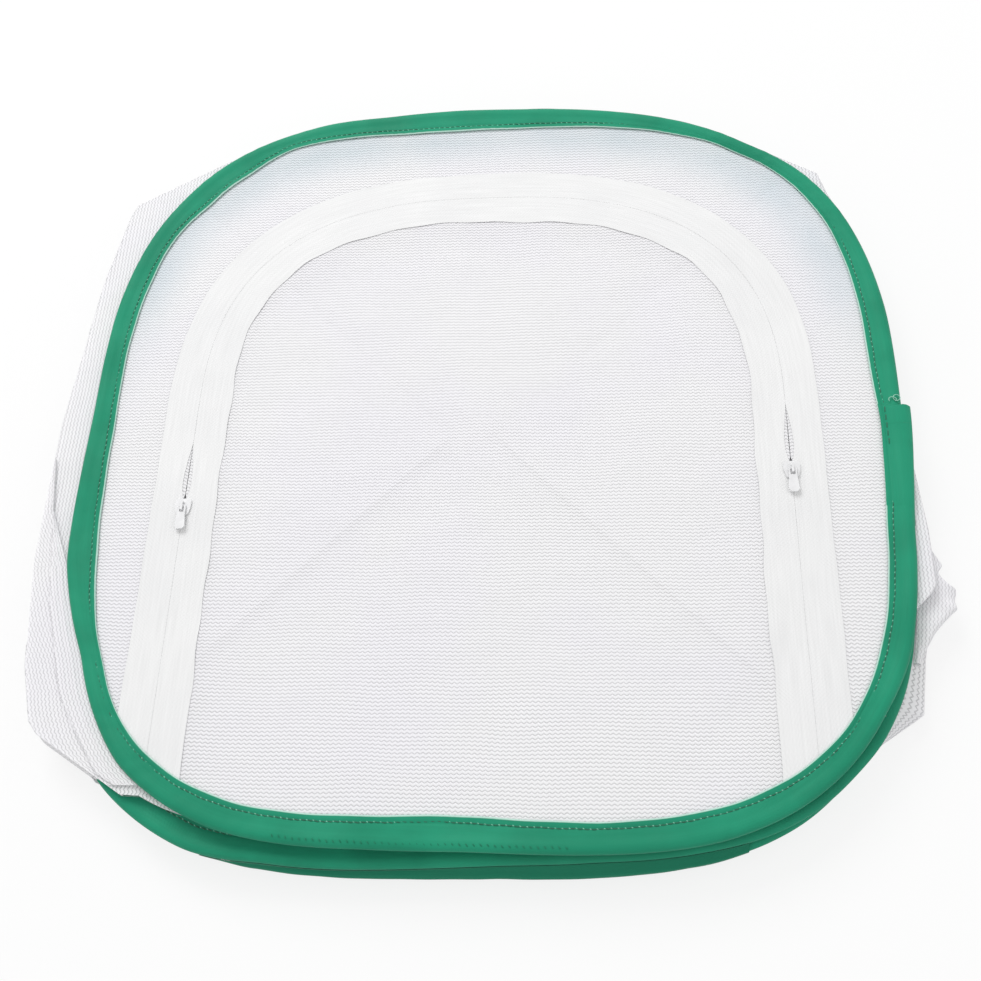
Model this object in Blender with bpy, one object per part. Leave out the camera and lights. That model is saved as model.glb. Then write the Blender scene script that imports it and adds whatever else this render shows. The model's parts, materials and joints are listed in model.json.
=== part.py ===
"""Pop-up insect cage, folded flat: four wire-hoop panels, mesh walls and a zipped door.

The stack lies as it does when put away: floor, back, roof and front from the bottom up.
It opens as a chain of panels into a cube. Metres, +Z up, -Y towards the door's hem.
"""
import math
from dataclasses import dataclass

import bmesh
import bpy
from mathutils import Vector

# Hoops: the outer side of one panel and the shape of its corners
HOOP_SIDE = 0.400
HOOP_EXPONENT = 3.1
HOOP_STEPS = 44

# Folded binding tape round the hoop wire
BINDING_WIDTH = 0.0137
BEAD_WIDTH = 0.0058
BEAD_THICKNESS = 0.0046
TAPE_THICKNESS = 0.0006
# Bead outline as shares of the bead's width and half thickness, from lip to rim
BEAD_OUTER_SHARES = ((1.0, 0.0), (0.78, 1.0), (0.22, 1.0), (0.0, 0.36))
BEAD_INNER_SHARES = ((0.86, 0.0), (0.70, 1.0), (0.30, 1.0))

# Hoop wire and the sleeve that joins its ends
WIRE_DIAMETER = 0.0016
WIRE_SIDES = 6
FERRULE_DIAMETER = 0.0028
FERRULE_BORE = 0.0022
FERRULE_LENGTH = 0.024
FERRULE_SIDES = 8
WIRE_END_GAP = 0.0010
WIRE_LEAD = 0.002

# Sheets and general clearances
MESH_THICKNESS = 0.0004
MESH_INSET = 0.0070
SHEET_THICKNESS = 0.0003
CLEARANCE = 0.0003

# Stack: gaps between the panels, and how far the lower pair lies off the upper one
INNER_GAP = 0.0039
OUTER_GAP = 0.0006
PAIR_SHIFT_X = -0.002
PAIR_SHIFT_Y = -0.004

# Roof and back hoops spring outward at the near left corner, beside the door hoop
SPRING_SPREAD = 0.095
ROOF_SPRING = 0.012
BACK_SPRING = 0.008
SPRING_CENTRE_SHARES = (-0.69, -0.885)

# Side walls: ear out to the crease, then a tucked quarter of the wall
LEFT_EAR_REACH = 0.018
RIGHT_EAR_REACH = 0.006
EAR_SEAM = 0.004
EAR_TUCK = 0.001
EAR_SPLITS = 2
# Ear edges, near to far: place as a share of the hoop's half side, reach as a share of the crease's
LEFT_EAR_SHARES = (
    (-0.88, 0.720), (-0.75, 0.917), (-0.72, 0.940), (-0.59, 0.972), (-0.33, 1.0), (0.04, 1.0),
    (0.465, 0.963), (0.69, 0.925), (0.73, 0.912), (0.88, 0.678),
)
RIGHT_EAR_SHARES = (
    (-0.86, 0.714), (-0.755, 0.845), (-0.695, 0.932), (-0.57, 0.952), (-0.40, 1.0), (-0.265, 1.0),
    (-0.11, 0.988), (0.0, 0.965), (0.63, 0.893), (0.705, 0.864), (0.77, 0.845), (0.86, 0.700),
)
CREASE_INSET = 0.0010
QUARTER_RISE = 0.0009
DOOR_QUARTER_RISE = 0.0020

# Zip: a U that starts at the near hem and arches round the far side
ZIP_HALF_SPAN = 0.146
ZIP_LEG_TOP = 0.012
ZIP_ARCH_RISE = 0.130
ZIP_ARCH_EXPONENT = 2.6
ZIP_ARCH_STEPS = 13
ZIP_TAPE_HALF_WIDTH = 0.0160
ZIP_TAPE_THICKNESS = 0.0005
SLIT_HALF = 0.0008
LEAF_HALF = 0.0030
LEAF_LENGTH = 0.030
LEAF_STEPS = 5
LEAF_SKEW = 0.6
COIL_WIDTH = 0.0020
COIL_THICKNESS = 0.0014
COIL_CLOSED_HALF = 0.00025
HINGE_SLIT = 0.0006
ZIP_END_GAP = 0.0012

# Sliders and pulls
LEFT_SLIDER_Y = -0.0400
RIGHT_SLIDER_Y = -0.0232
SLIDER_LENGTH = 0.0084
SLIDER_HALF_WIDTH = 0.0039
SLIDER_NOSE_SHARE = 0.78
SLIDER_PLATE = 0.0008
FLANGE_GAP = 0.0032
FLANGE_THICKNESS = 0.0006
BRIDGE_HALF = 0.0005
BRIDGE_LENGTH = 0.0024
CROWN_WIDTH = 0.0012
CROWN_STRAP = 0.0006
CROWN_LENGTH = 0.0046
CROWN_OPENING = 0.0018
PULL_THICKNESS = 0.0008
PULL_WINDOW = 0.0022
PULL_WINDOW_LENGTH = 0.0032
PULL_ARM = 0.0008
PULL_LENGTH = 0.0120
PULL_TIP_WIDTH = 0.0052

# Seam tapes between neighbouring panels
SEAM_HALF_LENGTH = 0.118
SEAM_STEPS = 2
SEAM_TAPER = 0.040
SEAM_END_SHARE = 0.15
# Bulge of the seam between back and roof: reach and height shares, from below to above
SEAM_SHARES = ((0.0, -1.0), (0.6, -0.8), (1.0, -0.25), (1.0, 0.25), (0.6, 0.8), (0.0, 1.0))

# Lap of the tape's end on the door panel
LAP_START_Y = 0.010
LAP_LENGTH = 0.055
LAP_STEPS = 5
LAP_THICKNESS = 0.0005
LAP_STEP = 0.0030
LAP_RIM_SHARE = 0.66

# Slack of the side walls that bulges out between the panels
SLACK_STEPS = 20
SLACK_SIDES = 5
SLACK_END_MARGIN = 0.029
SLACK_SPLIT_Y = -0.040
SLACK_JOIN = 0.0006
SLACK_PLEAT = 0.017
SLACK_PLEAT_SHARE = 0.30
SLACK_EDGE = 0.0008
TUFT_CENTRE_Y = -0.080
TUFT_HALF_LENGTH = 0.034
TUFT_REACH = 0.017
TUFT_PLEAT = 0.011
TUFT_SHOULDER = 0.003

# Levels that follow from the sizes above
HALF_SIDE = HOOP_SIDE / 2
HALF_BEAD = BEAD_THICKNESS / 2
LIP_INNER = MESH_THICKNESS / 2 + CLEARANCE
LIP_OUTER = LIP_INNER + TAPE_THICKNESS
FLOOR_Z = 0.0
BACK_Z = FLOOR_Z + BEAD_THICKNESS + INNER_GAP
ROOF_Z = BACK_Z + BEAD_THICKNESS + OUTER_GAP
FRONT_Z = ROOF_Z + BEAD_THICKNESS + INNER_GAP
FOLD_RADIUS = BEAD_THICKNESS + OUTER_GAP / 2 + CLEARANCE

# Rounds of halving that find a place on an outline
HALVING_STEPS = 60

GREEN = (0.030, 0.330, 0.170, 1.0)
WHITE_MESH = (0.840, 0.835, 0.870, 1.0)
WHITE_TAPE = (0.880, 0.880, 0.900, 1.0)
WHITE_PLASTIC = (0.820, 0.830, 0.840, 1.0)
STEEL = (0.450, 0.450, 0.460, 1.0)
BRASS = (0.520, 0.480, 0.400, 1.0)


@dataclass(frozen=True)
class Finish:
    """Plain look of one kind of material."""

    name: str
    colour: tuple
    roughness: float
    metallic: float = 0.0


BINDING_CLOTH = Finish("green_binding", GREEN, 0.85)
MESH_CLOTH = Finish("white_mesh", WHITE_MESH, 0.80)
ZIP_CLOTH = Finish("white_zip_tape", WHITE_TAPE, 0.75)
COIL_PLASTIC = Finish("white_coil", WHITE_PLASTIC, 0.45)
SLIDER_PLASTIC = Finish("white_slider", WHITE_PLASTIC, 0.35)
SPRING_STEEL = Finish("spring_steel", STEEL, 0.30, 1.0)
SLEEVE_METAL = Finish("sleeve_metal", BRASS, 0.40, 1.0)


@dataclass(frozen=True)
class Panel:
    """One hoop panel: its name, bottom level, inner side (+1 up), place and sprung corner."""

    name: str
    level: float
    inside: int
    shift_x: float
    shift_y: float
    spring: float = 0.0

    @property
    def middle(self):
        """Height of the panel's mesh."""
        return self.level + HALF_BEAD

    @property
    def shift(self):
        """How far the panel lies off the upper pair."""
        return self.shift_x, self.shift_y

    def spring_at(self, x, y):
        """How far the hoop's edge springs outward at a point of its outline."""
        x_share, y_share = SPRING_CENTRE_SHARES
        apart = math.hypot(x - x_share * HALF_SIDE, y - y_share * HALF_SIDE) / SPRING_SPREAD
        return self.spring * max(0.0, 1 - apart * apart) ** 2

    def inner_face(self, rise):
        """Height that lies a distance into the cage from the binding's inner face."""
        return self.middle + self.inside * (HALF_BEAD + rise)


FLOOR = Panel("floor", FLOOR_Z, 1, PAIR_SHIFT_X, PAIR_SHIFT_Y)
BACK = Panel("back", BACK_Z, -1, PAIR_SHIFT_X, PAIR_SHIFT_Y, BACK_SPRING)
ROOF = Panel("roof", ROOF_Z, 1, 0.0, 0.0, ROOF_SPRING)
FRONT = Panel("front", FRONT_Z, -1, 0.0, 0.0)
PANELS = (FLOOR, BACK, ROOF, FRONT)


def clear_scene():
    """Remove every object that the scene starts with."""
    for item in list(bpy.data.objects):
        bpy.data.objects.remove(item, do_unlink=True)


def power(value, exponent):
    """Signed power that superellipses are made of."""
    return math.copysign(abs(value) ** exponent, value)


def superellipse_point(half_x, half_y, exponent, angle):
    """Point of a superellipse at an angle of its parameter."""
    return (
        half_x * power(math.cos(angle), 2 / exponent),
        half_y * power(math.sin(angle), 2 / exponent),
    )


def normal_at(half_x, half_y, exponent, x, y):
    """Outward normal of a superellipse at one of its points."""
    nx = power(x / half_x, exponent - 1) / half_x
    ny = power(y / half_y, exponent - 1) / half_y
    length = math.hypot(nx, ny)
    return nx / length, ny / length


def even(first, last, steps):
    """Evenly spaced places from first to last."""
    return [first + (last - first) * step / steps for step in range(steps + 1)]


def hoop_station(panel, x, y):
    """Path station of a panel's hoop: point of its outer edge and outward normal."""
    normal = normal_at(HALF_SIDE, HALF_SIDE, HOOP_EXPONENT, x, y)
    push = panel.spring_at(x, y)
    return (x + normal[0] * push, y + normal[1] * push), normal


def hoop_turn(panel, angle):
    """Path station of a panel's hoop at an angle of its outline."""
    return hoop_station(panel, *superellipse_point(HALF_SIDE, HALF_SIDE, HOOP_EXPONENT, angle))


def hoop_path(panel):
    """Closed path round the hoop's outer edge."""
    return [hoop_turn(panel, math.tau * step / HOOP_STEPS) for step in range(HOOP_STEPS)]


def between(first, last, share):
    """Path station on the straight run from one station to the next."""
    mixed = []
    for near, far in zip(first, last):
        mixed.append(tuple(a + (b - a) * share for a, b in zip(near, far)))
    return tuple(mixed)


def hoop_side_path(panel, half_length, far_side):
    """Open path along the facets of the hoop's far or near side, left to right."""
    corners = [station for station in hoop_path(panel) if (station[0][1] > 0) == far_side]
    corners.sort(key=lambda station: station[0][0])
    path = []
    for first, last in zip(corners, corners[1:]):
        start, end = first[0][0], last[0][0]
        low, high = max(start, -half_length), min(end, half_length)
        if low < high:
            shares = [(place - start) / (end - start) for place in even(low, high, SEAM_STEPS)]
            path += [between(first, last, share) for share in shares[bool(path):]]
    return path


def offset(station, distance):
    """Point of a station moved outward by a distance."""
    (x, y), (nx, ny) = station
    return x + nx * distance, y + ny * distance


def inset_outline(panel, inset):
    """Closed outline that runs inside the hoop's edge."""
    return [offset(station, -inset) for station in hoop_path(panel)]


def inset_reach(inset, x):
    """Half depth along y, at x, of an outline that runs inside the door hoop's edge."""
    low, high = 0.0, math.pi / 2
    for _ in range(HALVING_STEPS):
        angle = (low + high) / 2
        if offset(hoop_turn(FRONT, angle), -inset)[0] > x:
            low = angle
        else:
            high = angle
    return offset(hoop_turn(FRONT, low), -inset)[1]


def material_for(node, finish):
    """Give one object its own Principled material."""
    material = bpy.data.materials.new(node + "_" + finish.name)
    material.use_nodes = True
    shader = material.node_tree.nodes["Principled BSDF"]
    shader.inputs["Base Color"].default_value = finish.colour
    shader.inputs["Roughness"].default_value = finish.roughness
    shader.inputs["Metallic"].default_value = finish.metallic
    material.diffuse_color = finish.colour
    return material


def finish_object(node, bm, finish, origin=(0.0, 0.0, 0.0)):
    """Turn a bmesh into a closed named object whose origin is its joint."""
    bmesh.ops.recalc_face_normals(bm, faces=bm.faces)
    bmesh.ops.translate(bm, verts=bm.verts, vec=-Vector(origin))
    mesh = bpy.data.meshes.new(node)
    bm.to_mesh(mesh)
    bm.free()
    obj = bpy.data.objects.new(node, mesh)
    obj.location = origin
    bpy.context.scene.collection.objects.link(obj)
    mesh.materials.append(material_for(node, finish))
    return obj


def loft(sections, closed):
    """Skin a row of equal sections into a closed tube or ring."""
    bm = bmesh.new()
    rings = [[bm.verts.new(point) for point in section] for section in sections]
    count = len(rings[0])
    pairs = zip(rings, rings[1:] + rings[:1]) if closed else zip(rings, rings[1:])
    for first, second in pairs:
        for k in range(count):
            n = (k + 1) % count
            bm.faces.new((first[k], first[n], second[n], second[k]))
    if not closed:
        bm.faces.new(rings[0])
        bm.faces.new(rings[-1])
    return bm


def sweep(path, profile_at, level, shift=(0.0, 0.0), closed=True):
    """Carry a profile of outward distance and height, given at each station, along a flat path."""
    sections = []
    for station in path:
        section = []
        for outward, height in profile_at(station):
            x, y = offset(station, outward)
            section.append((x + shift[0], y + shift[1], level + height))
        sections.append(section)
    return loft(sections, closed)


def slab(outline, bottom, top, shift=(0.0, 0.0)):
    """Extrude a flat outline between two heights."""
    bm = bmesh.new()
    ring = [bm.verts.new((x + shift[0], y + shift[1], bottom)) for x, y in outline]
    base = bm.faces.new(ring)
    raised = bmesh.ops.extrude_face_region(bm, geom=[base])
    lifted = [item for item in raised["geom"] if isinstance(item, bmesh.types.BMVert)]
    bmesh.ops.translate(bm, verts=lifted, vec=(0.0, 0.0, top - bottom))
    return bm


def block(low, high):
    """Box between two corners."""
    outline = ((low[0], low[1]), (high[0], low[1]), (high[0], high[1]), (low[0], high[1]))
    return slab(outline, low[2], high[2])


def combine(target, other, operation):
    """Join or cut one object by another and drop the second."""
    bpy.ops.object.select_all(action="DESELECT")
    bpy.context.view_layer.objects.active = target
    target.select_set(True)
    modifier = target.modifiers.new("join", "BOOLEAN")
    modifier.operation = operation
    modifier.object = other
    bpy.ops.object.modifier_apply(modifier=modifier.name)
    bpy.data.objects.remove(other, do_unlink=True)
    return target


def bead_outline():
    """Upper half of the tape's outer face, from the lip's edge to the rim."""
    outline = [(-BINDING_WIDTH, LIP_OUTER)]
    for width_share, height_share in BEAD_OUTER_SHARES:
        height = HALF_BEAD * height_share if height_share else LIP_OUTER
        outline.append((-BEAD_WIDTH * width_share, height))
    return outline


def binding_profile():
    """Section of the folded tape: a bead round the wire and two lips, open inward."""
    outer = bead_outline()
    outer += [(x, -z) for x, z in reversed(outer)]
    inner = [(-BINDING_WIDTH, -LIP_INNER)]
    for width_share, height_share in BEAD_INNER_SHARES:
        depth = max((HALF_BEAD - TAPE_THICKNESS) * height_share, LIP_INNER)
        inner.append((-BEAD_WIDTH * width_share, -depth))
    inner.append((-TAPE_THICKNESS, 0.0))
    inner += [(x, -z) for x, z in reversed(inner[:-1])]
    return outer + inner


def make_binding(panel):
    """Green binding tape folded round the hoop."""
    profile = binding_profile()
    bm = sweep(hoop_path(panel), lambda station: profile, panel.middle, panel.shift)
    return finish_object(panel.name + "_binding", bm, BINDING_CLOTH)


def round_profile(radius, sides, centre):
    """Regular polygon section round a point of the path's frame."""
    turn = math.tau / sides
    return [
        (centre + radius * math.cos(turn * (k + 1 / 2)), radius * math.sin(turn * (k + 1 / 2)))
        for k in range(sides)
    ]


def make_wire(panel):
    """Open ring of spring wire whose ends meet inside the sleeve."""
    turns = [math.pi / 2 + math.tau * step / HOOP_STEPS for step in range(1, HOOP_STEPS)]
    path = [hoop_turn(panel, angle) for angle in turns]
    leads = (WIRE_END_GAP / 2, FERRULE_LENGTH / 2 + WIRE_LEAD)
    start = [((-x, HALF_SIDE), (0.0, 1.0)) for x in leads]
    end = [((x, HALF_SIDE), (0.0, 1.0)) for x in reversed(leads)]
    profile = round_profile(WIRE_DIAMETER / 2, WIRE_SIDES, -BEAD_WIDTH / 2)
    bm = sweep(start + path + end, lambda station: profile, panel.middle, panel.shift, closed=False)
    return finish_object(panel.name + "_wire", bm, SPRING_STEEL)


def make_ferrule(panel):
    """Crimp sleeve over the two wire ends, a bored tube."""
    outer = FERRULE_DIAMETER / 2
    bore = FERRULE_BORE / 2
    rows = []
    for radius, end in ((outer, -1), (outer, 1), (bore, 1), (bore, -1)):
        x = end * FERRULE_LENGTH / 2 + panel.shift_x
        ring = []
        for out, up in round_profile(radius, FERRULE_SIDES, -BEAD_WIDTH / 2):
            ring.append((x, HALF_SIDE + out + panel.shift_y, panel.middle + up))
        rows.append(ring)
    return finish_object(panel.name + "_ferrule", loft(rows, closed=True), SLEEVE_METAL)


def make_mesh(panel):
    """Flat knitted mesh held between the lips of the binding."""
    half = MESH_THICKNESS / 2
    bm = slab(inset_outline(panel, MESH_INSET), panel.middle - half, panel.middle + half, panel.shift)
    return finish_object(panel.name + "_mesh", bm, MESH_CLOTH)


def crease_distance(side):
    """Distance from the panel's middle to the outermost point of the ear."""
    return HALF_SIDE + (RIGHT_EAR_REACH if side > 0 else LEFT_EAR_REACH)


def ear_shares(side):
    """Table of the ear's edge on one side."""
    return RIGHT_EAR_SHARES if side > 0 else LEFT_EAR_SHARES


def ear_edge(side, y):
    """Distance from the panel's middle to the cloth's edge at y, between the table's points."""
    shares = ear_shares(side)
    place = min(max(y / HALF_SIDE, shares[0][0]), shares[-1][0])
    for (low, low_reach), (high, high_reach) in zip(shares, shares[1:]):
        if place <= high:
            share = (place - low) / (high - low)
            return crease_distance(side) * (low_reach + (high_reach - low_reach) * share)
    return crease_distance(side) * shares[-1][1]


def ear_rows(side):
    """Places along y of the ear's rows: the table's points and splits between them."""
    rows = []
    shares = ear_shares(side)
    for (low, _), (high, _) in zip(shares, shares[1:]):
        for split in range(EAR_SPLITS):
            rows.append(HALF_SIDE * (low + (high - low) * split / EAR_SPLITS))
    rows.append(HALF_SIDE * shares[-1][0])
    return rows


def hoop_reach(panel, side, y):
    """Distance from the panel's middle to its hoop's edge at y, on one side."""
    low, high = -math.pi / 2, math.pi / 2
    for _ in range(HALVING_STEPS):
        angle = (low + high) / 2
        x, base_y = superellipse_point(HALF_SIDE, HALF_SIDE, HOOP_EXPONENT, angle)
        if hoop_station(panel, side * x, base_y)[0][1] < y:
            low = angle
        else:
            high = angle
    return side * hoop_station(panel, side * x, base_y)[0][0]


def ear_reach(panel, side, y):
    """Distance from the panel's middle to the ear's edge, which is never lost under the hoop."""
    return max(ear_edge(side, y), hoop_reach(panel, side, y) - EAR_TUCK)


def make_ear(panel, side):
    """Strip of wall cloth sewn to the hoop's side, out to the crease."""
    rows = ear_rows(side)
    outer = [(side * ear_reach(panel, side, y), y) for y in rows]
    inner = [(side * (hoop_reach(panel, side, y) - EAR_SEAM), y) for y in reversed(rows)]
    levels = sorted((panel.inner_face(CLEARANCE), panel.inner_face(CLEARANCE + SHEET_THICKNESS)))
    bm = slab(outer + inner, levels[0], levels[1], panel.shift)
    return finish_object(panel.name + "_ear_" + side_name(side), bm, MESH_CLOTH)


def side_name(side):
    """Name of a side of the cage as seen from the door."""
    return "right" if side > 0 else "left"


def quarter_rise(panel):
    """Depth at which a panel's tucked quarter lies below its inner face."""
    return DOOR_QUARTER_RISE if panel is FRONT else QUARTER_RISE


def crease_axis(panel, side):
    """A point of the crease that a wall quarter folds about."""
    rise = (CLEARANCE + quarter_rise(panel) + SHEET_THICKNESS) / 2
    x = side * (crease_distance(side) - CREASE_INSET) + panel.shift_x
    return x, panel.shift_y, panel.inner_face(rise)


def make_quarter(panel, side):
    """Triangular quarter of the side wall, tucked under its panel."""
    crease = crease_distance(side) - CREASE_INSET
    apex = crease - (HALF_SIDE - CLEARANCE)
    outline = [(side * apex, 0.0)]
    for y in ear_rows(side):
        reach = min(ear_reach(panel, side, y) - CREASE_INSET, crease - CLEARANCE)
        if reach - apex >= abs(y):
            outline.append((side * reach, y))
    rise = quarter_rise(panel)
    levels = sorted((panel.inner_face(rise), panel.inner_face(rise + SHEET_THICKNESS)))
    bm = slab(outline, levels[0], levels[1], panel.shift)
    node = panel.name + "_wall_" + side_name(side)
    return finish_object(node, bm, MESH_CLOTH, crease_axis(panel, side))


def slider_place(side):
    """Middle of a slider along y at rest."""
    return RIGHT_SLIDER_Y if side > 0 else LEFT_SLIDER_Y


def flap_line(side):
    """Where the door's fold line meets the zip on one side."""
    return slider_place(side) + SLIDER_LENGTH / 2 + HINGE_SLIT


def leaf_opening(side, y):
    """Extra half width of the slit above a slider, blunt below and pointed above."""
    share = (y - flap_line(side)) / LEAF_LENGTH
    if not 0 < share < 1:
        return 0.0
    return LEAF_HALF * math.sin(math.pi * share ** LEAF_SKEW)


def zip_leg(side, bottom):
    """Stations of one straight leg of the zip, from its hem up."""
    line = flap_line(side)
    centre = slider_place(side)
    places = [bottom, centre - BRIDGE_LENGTH / 2, centre + BRIDGE_LENGTH / 2, line]
    places += [line + LEAF_LENGTH * (k + 1) / LEAF_STEPS for k in range(LEAF_STEPS)]
    top = [ZIP_LEG_TOP] if ZIP_LEG_TOP > places[-1] else []
    return [((side * ZIP_HALF_SPAN, y), (side, 0.0)) for y in places + top]


def zip_arch():
    """Stations of the arch from the left leg over to the right one."""
    path = []
    for step in range(1, 2 * ZIP_ARCH_STEPS):
        angle = math.pi - math.pi * step / (2 * ZIP_ARCH_STEPS)
        x, y = superellipse_point(ZIP_HALF_SPAN, ZIP_ARCH_RISE, ZIP_ARCH_EXPONENT, angle)
        normal = normal_at(ZIP_HALF_SPAN, ZIP_ARCH_RISE, ZIP_ARCH_EXPONENT, x, y)
        if y + ZIP_LEG_TOP > flap_line(1) + LEAF_LENGTH or x < 0:
            path.append(((x, y + ZIP_LEG_TOP), normal))
    return path


def zip_path(bottom_left, bottom_right):
    """The whole U of the zip, left hem to right hem."""
    return zip_leg(-1, bottom_left) + zip_arch() + list(reversed(zip_leg(1, bottom_right)))


def flap_path():
    """The part of the U above the door's fold line."""
    left = [station for station in zip_leg(-1, LEFT_SLIDER_Y) if station[0][1] >= flap_line(-1)]
    right = [station for station in zip_leg(1, RIGHT_SLIDER_Y) if station[0][1] >= flap_line(1)]
    for path in (left, right):
        (x, y), normal = path[0]
        path[0] = ((x, y + HINGE_SLIT), normal)
    return left + zip_arch() + list(reversed(right))


def strip(path, near_edge, far_edge, bottom, top, side=1):
    """Flat strip along the zip between two distances from its slit line."""
    sections = []
    for station in path:
        (x, y), _ = station
        leaf = leaf_opening(1 if x > 0 else -1, y)
        a = offset(station, side * (near_edge(station) + leaf))
        b = offset(station, side * far_edge(station, leaf))
        sections.append([(a[0], a[1], bottom), (b[0], b[1], bottom), (b[0], b[1], top), (a[0], a[1], top)])
    return loft(sections, closed=False)


def slit_edge(station):
    """Distance of a cloth edge from the middle of the slit."""
    return SLIT_HALF


def tape_edge(station, leaf):
    """Distance of the zip tape's long edge from the slit."""
    return ZIP_TAPE_HALF_WIDTH


def coil_edge(station):
    """Distance of the coil from the slit: closed below a slider, open above."""
    (x, y), _ = station
    side = 1 if x > 0 else -1
    return COIL_CLOSED_HALF if y < slider_place(side) + BRIDGE_LENGTH / 4 else SLIT_HALF


def coil_far_edge(station, leaf):
    """Outer distance of the coil from the slit."""
    return coil_edge(station) + leaf + COIL_WIDTH


def hem_reach(x):
    """Height at which the zip's tape ends in front of the near binding lip."""
    return -(inset_reach(BINDING_WIDTH, x) - ZIP_END_GAP)


def make_front_mesh():
    """The door panel's mesh in three pieces: surround, fixed lower part and flap."""
    bottom = FRONT.middle - MESH_THICKNESS / 2
    top = FRONT.middle + MESH_THICKNESS / 2
    outer_x = ZIP_HALF_SPAN + SLIT_HALF
    hem = -inset_reach(MESH_INSET, outer_x)
    whole = inset_outline(FRONT, MESH_INSET)
    rim = [point for point in whole if abs(point[0]) > outer_x or point[1] >= 0]
    rim.sort(key=lambda point: math.atan2(-point[0], -point[1]) % math.tau)
    inner = []
    for station in reversed(zip_path(hem, hem)):
        (x, y), _ = station
        inner.append(offset(station, SLIT_HALF + leaf_opening(1 if x > 0 else -1, y)))
    finish_object("front_mesh_surround", slab(rim + inner, bottom, top), MESH_CLOTH)

    inner_x = ZIP_HALF_SPAN - SLIT_HALF
    hem = -inset_reach(MESH_INSET, inner_x)
    near = [point for point in whole if abs(point[0]) < inner_x and point[1] < 0]
    near.sort()
    lower = [(-inner_x, flap_line(-1) - HINGE_SLIT), (-inner_x, hem)] + near
    lower += [(inner_x, hem), (inner_x, flap_line(1) - HINGE_SLIT)]
    finish_object("front_mesh_lower", slab(lower, bottom, top), MESH_CLOTH)

    outline = []
    for station in flap_path():
        (x, y), _ = station
        outline.append(offset(station, -SLIT_HALF - leaf_opening(1 if x > 0 else -1, y)))
    finish_object("door_flap_mesh", slab(outline, bottom, top), MESH_CLOTH, flap_axis())


def flap_axis():
    """Middle of the door's fold line, on the mesh's outer face."""
    return (0.0, (flap_line(-1) + flap_line(1)) / 2, FRONT.middle + MESH_THICKNESS / 2)


def make_zip():
    """Zip tapes and coils, split where the door folds."""
    tape_top = FRONT.middle - MESH_THICKNESS / 2 - CLEARANCE
    tape_bottom = tape_top - ZIP_TAPE_THICKNESS
    coil_top = tape_bottom - CLEARANCE
    coil_bottom = coil_top - COIL_THICKNESS

    def make_pair(name, path, hand, axis=(0.0, 0.0, 0.0)):
        """Tape and coil of one length of the zip, outside (+1) or inside (-1) the slit."""
        tape = strip(path, slit_edge, tape_edge, tape_bottom, tape_top, hand)
        finish_object("zip_tape_" + name, tape, ZIP_CLOTH, axis)
        coil = strip(path, coil_edge, coil_far_edge, coil_bottom, coil_top, hand)
        finish_object("zip_coil_" + name, coil, COIL_PLASTIC, axis)

    hem = hem_reach(ZIP_HALF_SPAN + ZIP_TAPE_HALF_WIDTH)
    make_pair("outer", zip_path(hem, hem), 1)
    make_pair("flap", flap_path(), -1, flap_axis())
    hem = hem_reach(ZIP_HALF_SPAN)
    for side in (-1, 1):
        leg = [station for station in zip_leg(side, hem) if station[0][1] <= flap_line(side)]
        (x, y), normal = leg[-1]
        leg[-1] = ((x, y - HINGE_SLIT), normal)
        make_pair("lower_" + side_name(side), leg, -1)


def slider_levels():
    """Heights of a slider: bottom plate, channel and top plate."""
    channel_top = FRONT.middle + MESH_THICKNESS / 2 + CLEARANCE
    tape_bottom = FRONT.middle - MESH_THICKNESS / 2 - CLEARANCE - ZIP_TAPE_THICKNESS
    coil_bottom = tape_bottom - CLEARANCE - COIL_THICKNESS
    channel_bottom = coil_bottom - CLEARANCE
    return channel_bottom - SLIDER_PLATE, channel_bottom, channel_top, channel_top + SLIDER_PLATE


def shield(centre, bottom, top):
    """Slider plate: wide where the two rows enter, narrower at the nose."""
    x, y = centre
    wide = SLIDER_HALF_WIDTH
    nose = SLIDER_HALF_WIDTH * SLIDER_NOSE_SHARE
    half = SLIDER_LENGTH / 2
    round_off = SLIDER_PLATE
    outline = (
        (x - nose + round_off, y - half), (x + nose - round_off, y - half),
        (x + nose, y - half + round_off), (x + wide, y),
        (x + wide, y + half - round_off), (x + wide - round_off, y + half),
        (x - wide + round_off, y + half), (x - wide, y + half - round_off),
        (x - wide, y), (x - nose, y - half + round_off),
    )
    return slab(outline, bottom, top)


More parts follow.
